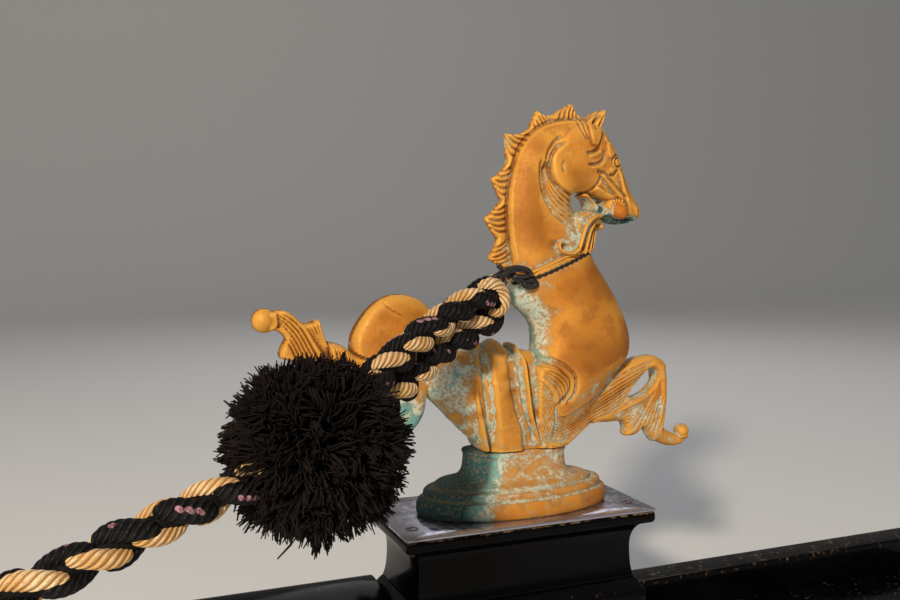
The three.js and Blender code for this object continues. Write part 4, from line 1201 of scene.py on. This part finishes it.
# Painted shade: the coil's face and the fluke are darkened towards brown.
tail.stain_and_shade([(-66, 126, 12), (-62, 112, 9), (-74, 136, 9), (-150, 120, 7), (-140, 112, 6)], -0.25)
tail.stain_and_shade([(-60, 78, 13), (-64, 62, 13), (-58, 94, 10), (-74, 58, 10)], 0.62)
# Painted shadow: the rope's shadow on the coil's lower part, as the darkest teal over its patina.
tail.stain_and_shade([(-66, 66, 12), (-72, 60, 10), (-78, 74, 9), (-86, 64, 10), (-80, 86, 6)], 1.2)
tail_brass = brass("brass_of_the_tail", green=-0.04, hollows=0.05, polish=0.3)
horse_tail = tail.piece("horse_tail", tail_brass, half=19, most=105000)
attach(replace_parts(horse_tail, "tail_coil", "tail_fluke"), "horse")

# The neck and head
# The neck rises from its collar to a long head. A comb of pointed lobes stands round its back, and a leaf
# scrolls from the chin down to the collar. The throat's strands and the comb's flutes are cut with a punch.
head = Relief((-22, 108), (152, 282), step=0.5)


def of_head(x, z):
    """How far a place belongs to the head, from 0 on the neck to 1."""
    return np.clip((x - 28) / 20, 0, 1) * np.clip((z - 206) / 12, 0, 1)


def head_half(x, z):
    """The half-thickness of the neck and the head."""
    neck = np.interp(z, (160, 185, 225, 262), (19.5, 17.5, 15, 12.5))
    skull = np.interp(np.hypot(x - 46, z - 240), (0, 30, 52, 75), (15.5, 13.5, 11, 8))
    return neck + (skull - neck) * of_head(x, z)


head.panel([
    (4, 150), (-1, 162), (-3.5, 175), (-4.5, 190), (-5, 208), (-3, 224), (0.5, 236), (6, 248), (13, 256.5),
    (22, 262.5), (31, 266), (40, 267.6), (50, 268), (58, 267), (65, 265), (70.5, 260.5), (77, 252.2),
    (82.6, 244), (86.4, 234.6), (92.6, 221.4), (99.6, 210.2), (102, 205), (101, 199.8), (97, 197.4),
    (92, 199.5), (84, 204.5), (76, 209), (67, 213), (60, 215), (53, 217), (47.5, 216.5), (45.5, 212),
    (47.5, 204), (52, 195.5), (56, 187), (57.5, 176), (60, 160), (50, 148),
], head_half, lambda x, z: 19 - 8 * of_head(x, z), soften=1)
# The comb: each lobe rises in a hollow sweep from above, and falls steeply to the next one down the neck.
comb_tips = [(60.5, 273.2), (47, 279), (19.5, 273), (-4.5, 256.5), (-14.5, 226), (-19.5, 199), (-16.5, 172)]
comb_valleys = [
    (66, 267), (55.3, 269), (32, 270.5), (14, 261), (-3, 239), (-7.5, 211.5), (-10.5, 186), (-4, 165),
]
comb_base = [
    (62, 264), (40, 267.5), (24, 263.8), (12, 256), (4, 246), (-1, 232), (-4.5, 212), (-4, 190), (-1, 168),
]
comb_line = spline(comb_base, per=20)


def bowed(a, b, bow):
    """A bow from a to b, that bulges away from the neck by a share of its length."""
    a, b = np.array(a, float), np.array(b, float)
    out = unit((a + b) / 2 - np.array([24, 225])) * bow * np.linalg.norm(b - a)
    t = np.linspace(0, 1, 9)[:, None]
    return (1 - t) ** 2 * a + 2 * t * (1 - t) * ((a + b) / 2 + out) + t**2 * b


comb = [[(56, 260)]]
for i, comb_tip in enumerate(comb_tips):
    rise, fall = bowed(comb_valleys[i], comb_tip, -0.28), bowed(comb_tip, comb_valleys[i + 1], 0.08)
    comb.append(np.vstack([rise, fall[1:]]))
comb.append([(6, 166), (4, 212), (12, 246), (34, 259)])
head.panel(np.vstack(comb), 4.4, 2.4, 6, curved=False)
for i, comb_tip in enumerate(comb_tips):
    roots = [comb_line[np.argmin(np.hypot(*(comb_line - v).T))] for v in comb_valleys[i:i + 2]]
    for share in (0.14, 0.32, 0.5, 0.68, 0.86):
        root = roots[0] + (roots[1] - roots[0]) * share
        rim_point = comb[i + 1][round(share * 16)]
        end = rim_point + (np.array(comb_tip) - rim_point) * 0.4
        middle = (root + end) / 2 + (roots[1] - roots[0]) * 0.06
        head.groove([root, middle, end], 1.8, 0.9, 0.06)
head.groove(comb_base[1:], 1.2, 0.7, 0.02)
head.groove([
    (48, 265), (40, 265.4), (25, 261.8), (13.4, 254.4), (5.8, 245), (1, 231.5), (-2.5, 212), (-2, 190),
    (1, 168),
], -0.8, 0.9, 0.02)
# The cheek is a flat disc, sharp below and behind, that runs out softly to the brow.
CHEEK = {"x": 45.5, "z": 236.0, "radius": 20.5, "towards_brow": 14.0, "lift": 2.7}
cheek_x, cheek_z = head.X - CHEEK["x"], head.Z - CHEEK["z"]
from_cheek = np.hypot(cheek_x, cheek_z)
to_brow = np.clip((0.8 * cheek_x + 0.6 * cheek_z) / np.maximum(from_cheek, 1), 0, 1) ** 1.5
cheek_reach = CHEEK["radius"] + CHEEK["towards_brow"] * to_brow
cheek = np.clip(1 - (from_cheek / cheek_reach) ** 2, 0, 1) ** (0.42 + 1.1 * to_brow)
head.cut -= CHEEK["lift"] * cheek
head.groove([
    (36, 251.5), (29, 247), (24.3, 239.5), (24.4, 231), (27.4, 223.6), (33.4, 218.6), (42, 215.2),
    (49.6, 214.8),
], 2.4, 1.3, 0.08)
head.groove([(49.6, 214.8), (56.2, 218.2), (60.6, 223.4), (62.6, 229)], 1.9, 1.2, 0.15)
# The ear's root, the jaw, the lips and the bit's cup
head.raised([
    (54.4, 249.6), (53, 255), (52.6, 261), (54.6, 266.4), (58.6, 270.4), (66, 272.4), (69, 270),
    (67.6, 265.6), (65.4, 261), (63, 256.6), (61, 252), (58.6, 248.6),
], 2.2, 1.3)
head.groove([(64, 268.6), (59.8, 264.6), (58.6, 259.4)], 2.6, 1.4, 0.15)
head.groove([(67, 269.4), (64.2, 264.8), (62, 260.4)], 1.6, 0.8, 0.15)
head.groove([(50.8, 267), (50, 260), (52.4, 252.6)], 1.5, 0.7, 0.1)
head.groove([(46.8, 267), (47, 260.4), (51, 252)], 1.5, 0.7, 0.1)
head.limb([(61, 221, 4.5, 13), (67, 217.8, 4.2, 12.4), (74.5, 214.6, 3.6, 11.4), (79, 213, 2.5, 10)], 8)
head.limb([(55.5, 214.5, 2.8, 10), (60.5, 209, 3.6, 10), (67.5, 204.6, 3.8, 9.4), (75, 203, 3.6, 8.6)], 6)
head.limb([
    (72.5, 201.6, 3, 6), (77, 198.4, 2.6, 5), (83, 197.2, 2.2, 4.4), (88.7, 197.4, 1.9, 4),
    (93, 197.6, 1.5, 3.6),
], 4)
head.panel([
    (72.5, 212.5), (79, 214.5), (85.5, 212.5), (88, 206), (84, 200.5), (76, 200), (71, 206),
], 11.8, 2.5, 6)
head.rays([(79.5, 204), (80, 204.5), (80.5, 204)], [(71, 208), (79, 214.5), (88, 208)], 7, 1.0, 0.7, 0.05)
head.groove([(79, 200.4), (86, 200.4), (93, 200.2), (99, 200.4)], 2.2, 1.1, 0.05)
# The throat's strands
head.flutes(
    [(24.4, 238), (25.4, 229), (29, 221.5), (36, 215.4), (47, 210)],
    [(18.6, 238), (17.8, 227), (20.4, 213.6), (27, 203.6), (36, 197.4), (46, 192)],
    5, 2.7, 1.2, 0.1,
)
head.groove([
    (18, 240), (16.6, 231.5), (16.8, 222), (19.4, 213), (25, 203.6), (32, 197.6), (42, 192),
], 2.4, 1.3, 0.08)
head.groove([(34.3, 256), (27.5, 250.5), (22.6, 243.4), (20.9, 234.7), (21.8, 226)], 1.8, 1.3, 0.12)
head.groove([(33.4, 239), (31.8, 234), (33.4, 229)], 1.0, 0.9, 0.3)
# The brow, the eye, the forelock, the nose and the bridle's strap
head.groove([(49.4, 243.6), (53.8, 244), (57.4, 245.6), (61.5, 248)], 2.2, 1.2, 0.15)
head.groove([(51, 241.6), (56, 242.6), (60, 244.4), (63, 246.6)], -0.9, 1.5, 0.2)
head.groove([(50.4, 236), (56.7, 236.2), (60.3, 237.3), (63, 239.2), (64.8, 242), (65, 247)], 2.0, 1.1, 0.12)
head.groove([(53, 234.2), (58.5, 234.4), (63.1, 235.8), (66, 238.6)], -0.7, 1.0, 0.2)
head.raised([
    (66.4, 252), (66.2, 246), (67.5, 241), (71.6, 240), (75.5, 242.4), (78, 246), (76.4, 250), (72, 253),
], 1.6, 3)
head.groove([(76.9, 238.2), (77.2, 238.2)], -1.6, 3.4, 0)
head.groove([
    (74.4, 238.2), (75.4, 240.4), (77.4, 241.2), (79.6, 240.2), (80.4, 238.2), (79.4, 236), (77.2, 235.2),
    (75.2, 236.2), (74.4, 238),
], 2.6, 0.65, 0)
head.groove([(77.5, 238.4), (77.8, 238.4)], 2.4, 0.9, 0)
head.groove([(72.2, 236.4), (72.8, 240.8), (76.6, 243.6), (81.2, 242.2), (83, 238.6)], 1.6, 0.8, 0.15)
head.groove([(71.4, 232.6), (73.4, 232.8)], -1.5, 2.0, 0)
head.groove([(69.4, 229.6), (73, 229.2), (76.4, 231.4)], 1.7, 0.9, 0.2)
head.groove([(75.2, 231.6), (76.8, 232.4)], 2.4, 1.1, 0)
head.raised([
    (68, 262), (72, 261.6), (80, 252), (76.5, 248.6), (70, 250), (65.6, 252.6), (65.6, 257),
], 1.5, 1.6)
head.rays([(72, 262), (76, 256), (80, 250.6)], [(66, 257), (68.4, 252.4), (73.4, 249)], 8, 1.3, 0.75, 0.1)
head.groove([(79.6, 233.6), (83, 222.6), (87.2, 211.6), (90.6, 203.6), (92.8, 198.6)], -1.1, 0.9, 0.08)
head.groove([(77.4, 231.6), (81, 220.4), (85, 210.6), (89, 202)], 1.6, 0.9, 0.08)
head.groove([(62.6, 230), (68.4, 224.8), (73.1, 220.8), (79.3, 215.8), (84.6, 211.6)], -1.7, 1.3, 0.1)
head.groove([(63.6, 233), (70, 227.4), (76, 222.4), (82, 217.4), (87, 213)], 1.7, 0.8, 0.1)
head.groove([(60.7, 229.6), (66, 224.6), (71.4, 219.8), (77, 215.4)], 1.9, 0.9, 0.1)
head.groove([(60.6, 231.4), (63.8, 230.6)], 2.2, 1.4, 0)
head.groove([(60.4, 220), (64, 219), (67.4, 216.8)], -0.9, 1.1, 0.2)
head.groove([(95, 206), (97.6, 203.8), (97.2, 201.2)], 1.6, 1.1, 0.2)
# The see-through gap under the jaw
head.hole([
    (46.6, 214.6), (52.9, 215), (58.4, 211.8), (60.4, 208.2), (59.4, 206.4), (54.5, 205.4), (50, 203),
    (48.4, 207),
], 16, 3.2)
# The chin's leaf, its curls and the collar
head.panel([
    (44, 200), (49, 203), (56, 204.8), (63, 203.8), (67, 200.4), (66, 196.6), (62.6, 193), (59.6, 188),
    (56.6, 181), (52.5, 174), (47, 168), (39, 169), (36, 174.5), (39, 180), (42, 186), (43, 194),
], lambda x, z: np.interp(x, (38, 48, 64), (17.4, 15.4, 10.6)), 3, 5)
head.limb([
    (66.5, 201, 2.2, 11), (61, 200.6, 2.6, 14), (55.4, 198, 2.8, 16.6), (50.6, 193.4, 2.9, 18.4),
    (47.6, 187.5, 2.9, 19.6), (45, 181.4, 2.8, 20.8), (42.5, 176, 2.6, 21.6),
], 2.5)
head.limb([
    (43, 178, 2.7, 23), (37.6, 175.4, 2.4, 23.4), (32, 175.8, 2.1, 23.2), (28.2, 178.6, 1.9, 22.6),
    (28, 182, 1.5, 22), (31, 183.4, 1.2, 21.6),
], 2)
head.groove([(26, 175), (31.4, 172.8), (38, 172.8), (43, 174.6)], 1.8, 0.7, 0.1)
head.limb([
    (64, 197, 1.8, 9), (59.4, 195, 2.1, 13.4), (55.4, 190.6, 2.2, 16), (52.6, 184.6, 2.2, 17.8),
    (50.4, 179, 2.1, 19), (48, 173, 1.8, 19.6),
], 2)
head.limb([(59.6, 190.4, 1.6, 12), (57, 185, 1.8, 14.6), (55, 179.6, 1.8, 16.4), (53.4, 174, 1.6, 17.4)], 2)
head.limb([(62.6, 193, 2, 9), (61.4, 188, 1.9, 11), (59.6, 183, 1.6, 12.6), (58, 177.6, 1.2, 14)], 2)
head.limb([(69.4, 193.9, 2.8, 6), (69.8, 193.8, 2.8, 6)], 2)
head.limb([(62, 196.4, 2.2, 10), (66, 197.4, 2.2, 8), (69, 197, 2, 6)], 3)
head.limb([
    (-6, 159, 2.4, 18), (4, 161.8, 2.6, 21), (12.4, 164.8, 2.6, 21.8), (19.6, 167.6, 2.5, 22),
    (27, 170.6, 2.4, 21.8), (34, 173, 2.3, 21.6), (41, 174.6, 2.2, 21.2), (52, 177, 2.2, 18),
    (57, 178, 2, 15),
], 4)
head.end_flat(head.Z - collar_line(head.X))
head.stain_and_shade([
    (24, 177, 8), (31, 185, 8), (37, 193, 7), (14, 171, 6), (18, 174, 7), (4, 168, 6), (36, 180, 6),
    (40, 187, 6),
], 0.42)
head.stain_and_shade([(28, 192, 6), (22, 186, 7), (12, 180, 8), (6, 176, 7), (30, 200, 5)], 0.2)
head.stain_and_shade([(50, 190, 2), (52, 182, 2), (54, 192, 2), (57, 182, 2), (46, 172, 4), (60, 176, 3)], 0.5)
head.stain_and_shade([(-3, y, 3) for y in range(168, 262, 5)], 0.22)
# Painted shade: the lower lip is turned near-black in the darkest teal.
head.stain_and_shade([(80, 197, 5), (88, 197, 4), (73, 199, 4), (94, 197.6, 3), (66, 206, 3)], 2.4)
# Painted shade: the back of the neck and its lower part are darkened towards brown.
head.stain_and_shade([
    (3, 218, 10), (1, 200, 10), (6, 234, 9), (14, 247, 8), (14, 184, 14), (48, 226, 8), (40, 230, 6),
    (56, 250, 6),
], -0.35)
head.stain_and_shade([(10, 188, 16), (12, 206, 12), (12, 222, 10), (18, 250, 8)], -0.2)
head.stain_and_shade([
    (48, 199.5, 5), (54, 203.5, 4), (60, 204, 4), (62, 208, 5), (68, 205, 5), (58, 211, 3), (75, 205, 4),
    (70, 201, 4),
], 0.6)
head.stain_and_shade([
    (24, 210, 6), (29, 204, 6), (36, 198, 6), (44, 193, 6), (40, 204, 6), (21, 224, 4), (66, 226, 3),
    (50, 186, 7),
], 0.24)
head_brass = brass("brass_of_the_head", green=0.0, hollows=0.26, polish=0.45)
horse_head = head.piece("horse_head", head_brass, half=23.5)
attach(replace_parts(horse_head, "neck", "head", "chin_scroll", "mane_crest"), "horse")

# The ears and the bit's balls
# The ears are short fluted leaves, cast apart and let into the comb. A ball closes the bit on each side.
EAR_Y = 5.0
BALL = {"x": 80.4, "y": 12.0, "z": 203.9, "radius": 5.3, "rings": 24, "sides": 40}
ear = Relief((48, 78), (244, 280), step=0.4)
ear.panel([
    (54.4, 249), (53.6, 255), (53.4, 261), (55, 265.6), (59, 269.4), (63.6, 271.8), (69.6, 275),
    (70.4, 271), (69, 266.4), (66.8, 261.6), (64.4, 257.4), (62.2, 252.6), (60.6, 247.6), (57, 247),
], 5, 2.6)
ear.groove([(66.6, 271.6), (62.4, 268.4), (59.6, 264.4), (59.8, 259.4)], 3.0, 1.5, 0.12)
ear.groove([(68.6, 271), (65.6, 266), (63.4, 261.4)], 1.8, 0.8, 0.15)
ear.groove([(63.6, 270.4), (58, 267), (55.6, 262.4), (55.6, 256)], -0.8, 1.0, 0.15)
for name, y in (("ear_right", -EAR_Y), ("ear_left", EAR_Y)):
    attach(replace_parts(ear.piece(name, head_brass, half=5.2, y=y), name), "horse")
ball_brass = brass("brass_of_the_balls", green=-0.3, hollows=0.0, polish=0.1)
for name, side in (("bit_ball_right", -1), ("bit_ball_left", 1)):
    around = np.linspace(0, 2 * math.pi, BALL["sides"], endpoint=False)
    rings = []
    for a in np.linspace(0.02, math.pi - 0.02, BALL["rings"]):
        wide = BALL["radius"] * math.sin(a)
        height = np.full(BALL["sides"], BALL["radius"] * math.cos(a))
        ring = np.stack([wide * np.cos(around), wide * np.sin(around), height], 1)
        rings.append(ring + (BALL["x"], side * BALL["y"], BALL["z"]))
    ball_faces = tube_faces(BALL["rings"], BALL["sides"])
    ball = new_piece(name, above_plate(np.vstack(rings)), ball_faces, ball_brass)
    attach(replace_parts(ball, name), "horse")

# The lashing
# A thin twisted black cord is drawn tight round the neck under the collar, and a doubled twist of it holds
# the rope's turn. Its knot is a flat loop and a small coil on the near side of the neck, with two cut ends.
RING_HALF = (33.8, 19.6)
RING_AT = (30.5, 167.0)
RING_TILT = math.radians(20)
RING_OFF_METAL = 0.1
ring_angles = np.linspace(0, 2 * math.pi, 120)
ring_x = RING_AT[0] + RING_HALF[0] * np.cos(ring_angles) * math.cos(RING_TILT)
ring_z = RING_AT[1] + RING_HALF[0] * np.cos(ring_angles) * math.sin(RING_TILT)
cell_x, cell_z = np.searchsorted(body.x, ring_x), np.searchsorted(body.z, ring_z)
metal_half = np.sqrt(np.maximum(body.bulk[cell_x, cell_z], 0)) + RING_OFF_METAL
ring_y = np.sign(np.sin(ring_angles)) * np.maximum(metal_half, RING_HALF[1] * np.abs(np.sin(ring_angles)))
ring_y[[0, -1]] = 0
ring_path = spline(np.stack([ring_x, ring_y, ring_z], 1)[::4])
ring_points, ring_faces = twisted(ring_path, 1.4, 2, pitch=9, taper=False)
neck_lashing = new_piece("neck_lashing", above_plate(ring_points), ring_faces, twine)
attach(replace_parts(neck_lashing, "neck_lashing"), "horse")

coil_turn = np.linspace(0, 5 * math.pi, 60)
coil = np.stack([5.6 + 4.6 * np.cos(coil_turn), -20.4 - 0.05 * coil_turn, 155.4 + 2.3 * np.sin(coil_turn)], 1)
to_rope = [(-31, -33, 151.6), (-26, -28.6, 156), (-19, -23.6, 161), (-10, -18.5, 161.6), (-2, -14, 160)]
loop = [
    (-18, -23, 160), (-15, -23.4, 163), (-10.5, -23.2, 165), (-5, -23.2, 165.7), (0.6, -23.6, 164.9),
    (4.2, -22.8, 162.8), (2.4, -22.4, 160.6), (-2.4, -22, 159.6), (-8, -21.6, 160),
]
upper_end = [(-15, -22.4, 161), (-16.6, -22.6, 165), (-19, -22.4, 169)]
lower_end = [(-16, -21.6, 161), (-14.4, -22, 157.4), (-13.6, -22, 153.4)]
to_coil = [(-8, -21.4, 160), (-3, -21.8, 158), (1.4, -21.6, 156.6)]
knot_parts = [
    twisted(route, radius, 2, pitch=pitch, sides=10)
    for route, radius, pitch in (
        (spline(to_rope), 3.2, 13),
        (spline(loop), 2.5, 44),
        (spline(upper_end), 2.1, 14),
        (spline(lower_end), 1.8, 14),
        (spline(to_coil), 2.0, 20),
        (coil, 1.9, 16),
    )
]
knot_points, knot_faces = joined(knot_parts)
lashing_knot = new_piece("lashing_knot", above_plate(knot_points), knot_faces, twine)
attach(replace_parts(lashing_knot, "lashing_knot"), "horse")

# The pom-pom
# Some thousands of cut black wool yarns, bound tight at their middle round the rope and clipped to a ball.
# The ends part a little and hang, and a few were missed by the shears.
POMPOM_AT = (-168.0, -128.0, 84.0)
WANDER = {"per_metre": 70.0, "reach": 1.45, "level": (0.5, 0.5, 0.57)}
LOCKS = {"per_metre": 100.0, "draw": 0.42}
wool, tree, shader = new_material("black_wool")
# Painted shade: the yarns go near-black towards their roots, and so does the hidden ball, deep in the pile.
tip = between(tree, value_of(tree, "tip"), 0.4, 1.0)
shade = mixed(tree, noise(tree, 120), (0.005, 0.0035, 0.0035, 1), (0.017, 0.010, 0.009, 1))
tree.links.new(mixed(tree, tip, (0.001, 0.001, 0.001, 1), shade), shader.inputs["Base Color"])
shader.inputs["Roughness"].default_value = 0.85
shader.inputs["Specular IOR Level"].default_value = 0.2


def vectors(tree, operation, a, b=(0, 0, 0), times=1.0):
    """A Vector Math node."""
    return put(tree, "ShaderNodeVectorMath", {0: a, 1: b, 3: times}, operation=operation)


def pile_tree():
    """Yarns that stand out from a ball, each bent a little, and the ball that they hide, which takes the
    wool's near-black root colour as painted shade.
    """
    tree = bpy.data.node_groups.new("cut_pile", "GeometryNodeTree")
    for name, kind in (
        ("Places", "NodeSocketGeometry"),
        ("Core", "NodeSocketFloat"),
        ("Length", "NodeSocketFloat"),
        ("Spread", "NodeSocketFloat"),
        ("Yarn", "NodeSocketFloat"),
        ("Count", "NodeSocketInt"),
        ("Seed", "NodeSocketInt"),
    ):
        tree.interface.new_socket(name, in_out="INPUT", socket_type=kind)
    tree.interface.new_socket("Pile", in_out="OUTPUT", socket_type="NodeSocketGeometry")
    given = put(tree, "NodeGroupInput").outputs
    core = put(tree, "GeometryNodeMeshIcoSphere", {"Radius": given["Core"], "Subdivisions": 4}).outputs[0]
    area = maths(tree, "MULTIPLY", maths(tree, "MULTIPLY", given["Core"], given["Core"]), 4 * math.pi)
    density = maths(tree, "DIVIDE", given["Count"], area)
    sockets = {"Mesh": core, "Density": density, "Seed": given["Seed"]}
    scatter = put(tree, "GeometryNodeDistributePointsOnFaces", sockets)
    line = put(tree, "GeometryNodeCurvePrimitiveLine", {"End": (0, 0, 1)}).outputs[0]
    line = put(tree, "GeometryNodeResampleCurve", {"Curve": line, "Count": 5}).outputs[0]
    shortest, longest = (maths(tree, how, given["Length"], given["Spread"]) for how in ("SUBTRACT", "ADD"))
    lengths = {2: shortest, 3: longest, "Seed": 3}
    long = put(tree, "FunctionNodeRandomValue", lengths, data_type="FLOAT").outputs[1]
    along = put(tree, "GeometryNodeSplineParameter").outputs["Factor"]
    sockets = {"Geometry": line, "Name": "tip", "Value": along}
    stored = put(tree, "GeometryNodeStoreNamedAttribute", sockets, data_type="FLOAT", domain="POINT")
    marked = stored.outputs[0]
    stretch = put(tree, "ShaderNodeCombineXYZ", {0: 1.0, 1: 1.0, 2: long}).outputs[0]
    points, rotation = scatter.outputs["Points"], scatter.outputs["Rotation"]
    sockets = {"Points": points, "Instance": marked, "Rotation": rotation, "Scale": stretch}
    yarns = put(tree, "GeometryNodeInstanceOnPoints", sockets).outputs[0]
    yarns = put(tree, "GeometryNodeRealizeInstances", {"Geometry": yarns}).outputs[0]
    place = put(tree, "GeometryNodeInputPosition").outputs[0]
    # The noise lies about its level, which stands a little high in Z so that the yarns hang.
    sockets = {"Vector": place, "Scale": WANDER["per_metre"], "Detail": 5.0, "Roughness": 0.62}
    wander = put(tree, "ShaderNodeTexNoise", sockets).outputs["Color"]
    wander = vectors(tree, "SUBTRACT", wander, WANDER["level"]).outputs[0]
    tip = put(tree, "GeometryNodeInputNamedAttribute", {"Name": "tip"}, data_type="FLOAT").outputs[0]
    tip_squared = maths(tree, "MULTIPLY", tip, tip)
    reach = maths(tree, "MULTIPLY", tip_squared, maths(tree, "MULTIPLY", given["Length"], WANDER["reach"]))
    bend = vectors(tree, "SCALE", wander, times=reach).outputs[0]
    # Tips near each other are drawn into locks.
    sockets = {"Vector": place, "Scale": LOCKS["per_metre"], "Randomness": 1.0}
    cells = put(tree, "ShaderNodeTexVoronoi", sockets, voronoi_dimensions="3D", feature="F1")
    lock = vectors(tree, "NORMALIZE", cells.outputs["Position"]).outputs[0]
    away = vectors(tree, "LENGTH", place).outputs["Value"]
    lock = vectors(tree, "SCALE", lock, times=away).outputs[0]
    lock = vectors(tree, "SUBTRACT", lock, place).outputs[0]
    drawn = maths(tree, "MULTIPLY", tip_squared, LOCKS["draw"])
    lock = vectors(tree, "SCALE", lock, times=drawn).outputs[0]
    bend = vectors(tree, "ADD", bend, lock).outputs[0]
    yarns = put(tree, "GeometryNodeSetPosition", {"Geometry": yarns, "Offset": bend}).outputs[0]
    thick = maths(tree, "MULTIPLY", given["Yarn"], between(tree, tip, 0.55, 1.0, 1.0, 0.45))
    round_yarn = put(tree, "GeometryNodeCurvePrimitiveCircle", {"Resolution": 3, "Radius": 1.0}).outputs[0]
    sockets = {"Curve": yarns, "Profile Curve": round_yarn, "Scale": thick, "Fill Caps": True}
    pile = put(tree, "GeometryNodeCurveToMesh", sockets).outputs[0]
    both = put(tree, "GeometryNodeJoinGeometry")
    for part in (pile, core):
        tree.links.new(part, both.inputs[0])
    sockets = {"Points": given["Places"], "Instance": both.outputs[0]}
    moved = put(tree, "GeometryNodeInstanceOnPoints", sockets).outputs[0]
    real = put(tree, "GeometryNodeRealizeInstances", {"Geometry": moved}).outputs[0]
    real = put(tree, "GeometryNodeSetMaterial", {"Geometry": real, "Material": wool}).outputs[0]
    tree.links.new(real, put(tree, "NodeGroupOutput").inputs[0])
    return tree


pile = pile_tree()
pompom_place = [above_plate(POMPOM_AT)]
pile_sizes = {
    "Core": 26 * MM, "Length": 20 * MM, "Spread": 2.0 * MM, "Yarn": 0.72 * MM, "Count": 7000, "Seed": 7,
}
pompom = grown("pompom", pompom_place, pile, pile_sizes)
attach(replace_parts(pompom, "pompom"), "horse")
stray_sizes = {
    "Core": 30 * MM, "Length": 22 * MM, "Spread": 5.0 * MM, "Yarn": 0.9 * MM, "Count": 40, "Seed": 11,
}
strays = grown("pompom_strays", pompom_place, pile, stray_sizes)
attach(strays, "horse")

# The floor and the light
# A pale sheet swept up behind, a low warm key from behind the camera's left shoulder, and a soft pale room.
SWEEP = {"width": 24.0, "front": -4.0, "back": 3.0, "rise": 4.0, "radius": 1.5, "below": 0.0002}
floor_paper, tree, shader = new_material("pale_paper")
shader.inputs["Base Color"].default_value = (0.8, 0.8, 0.8, 1)
shader.inputs["Roughness"].default_value = 0.9
bend = np.linspace(0, math.pi / 2, 24)
turned_up = zip(SWEEP["back"] + SWEEP["radius"] * np.sin(bend), SWEEP["radius"] * (1 - np.cos(bend)))
sweep_line = [(SWEEP["front"], 0), *turned_up, (SWEEP["back"] + SWEEP["radius"], SWEEP["rise"])]
paper = bpy.data.meshes.new("paper")
half = SWEEP["width"] / 2
paper.from_pydata(
    [(side * half, y, z - SWEEP["below"]) for y, z in sweep_line for side in (-1, 1)],
    [],
    [(2 * i, 2 * i + 1, 2 * i + 3, 2 * i + 2) for i in range(len(sweep_line) - 1)],
)
paper.shade_smooth()
paper.materials.append(floor_paper)
floor = bpy.data.objects.new("paper", paper)
bpy.context.scene.collection.objects.link(floor)


def lamp(name, towards, away, size, watts, colour, aim=(0.0, 0.0, 0.22)):
    """A square soft light that stands that far away in a direction and faces the horse."""
    data = bpy.data.lights.new(name, "AREA")
    data.size = size
    data.energy = watts
    data.color = colour
    light = bpy.data.objects.new(name, data)
    back = unit(towards)
    light.location = np.array(aim) + back * away
    level = math.hypot(back[0], back[1])
    light.rotation_euler = (math.atan2(level, back[2]), 0, math.atan2(back[0], -back[1]))
    bpy.context.scene.collection.objects.link(light)


lamp("key", (-0.59, -0.66, 0.455), away=2.4, size=0.22, watts=53, colour=(1.0, 0.88, 0.70))
lamp("fill", (0.8, -0.9, 0.9), away=2.6, size=2.2, watts=3, colour=(0.88, 0.93, 1.0))
lamp("rim", (0.5, 0.9, 0.9), away=2.2, size=1.4, watts=8, colour=(0.95, 0.97, 1.0))
room = bpy.data.worlds.new("room")
room.use_nodes = True
room.node_tree.nodes["Background"].inputs["Color"].default_value = (0.90, 0.91, 0.93, 1)
room.node_tree.nodes["Background"].inputs["Strength"].default_value = 0.2
bpy.context.scene.world = room
bpy.context.scene.view_settings.view_transform = "Standard"

# The view layer is brought up to date.
bpy.context.view_layer.update()
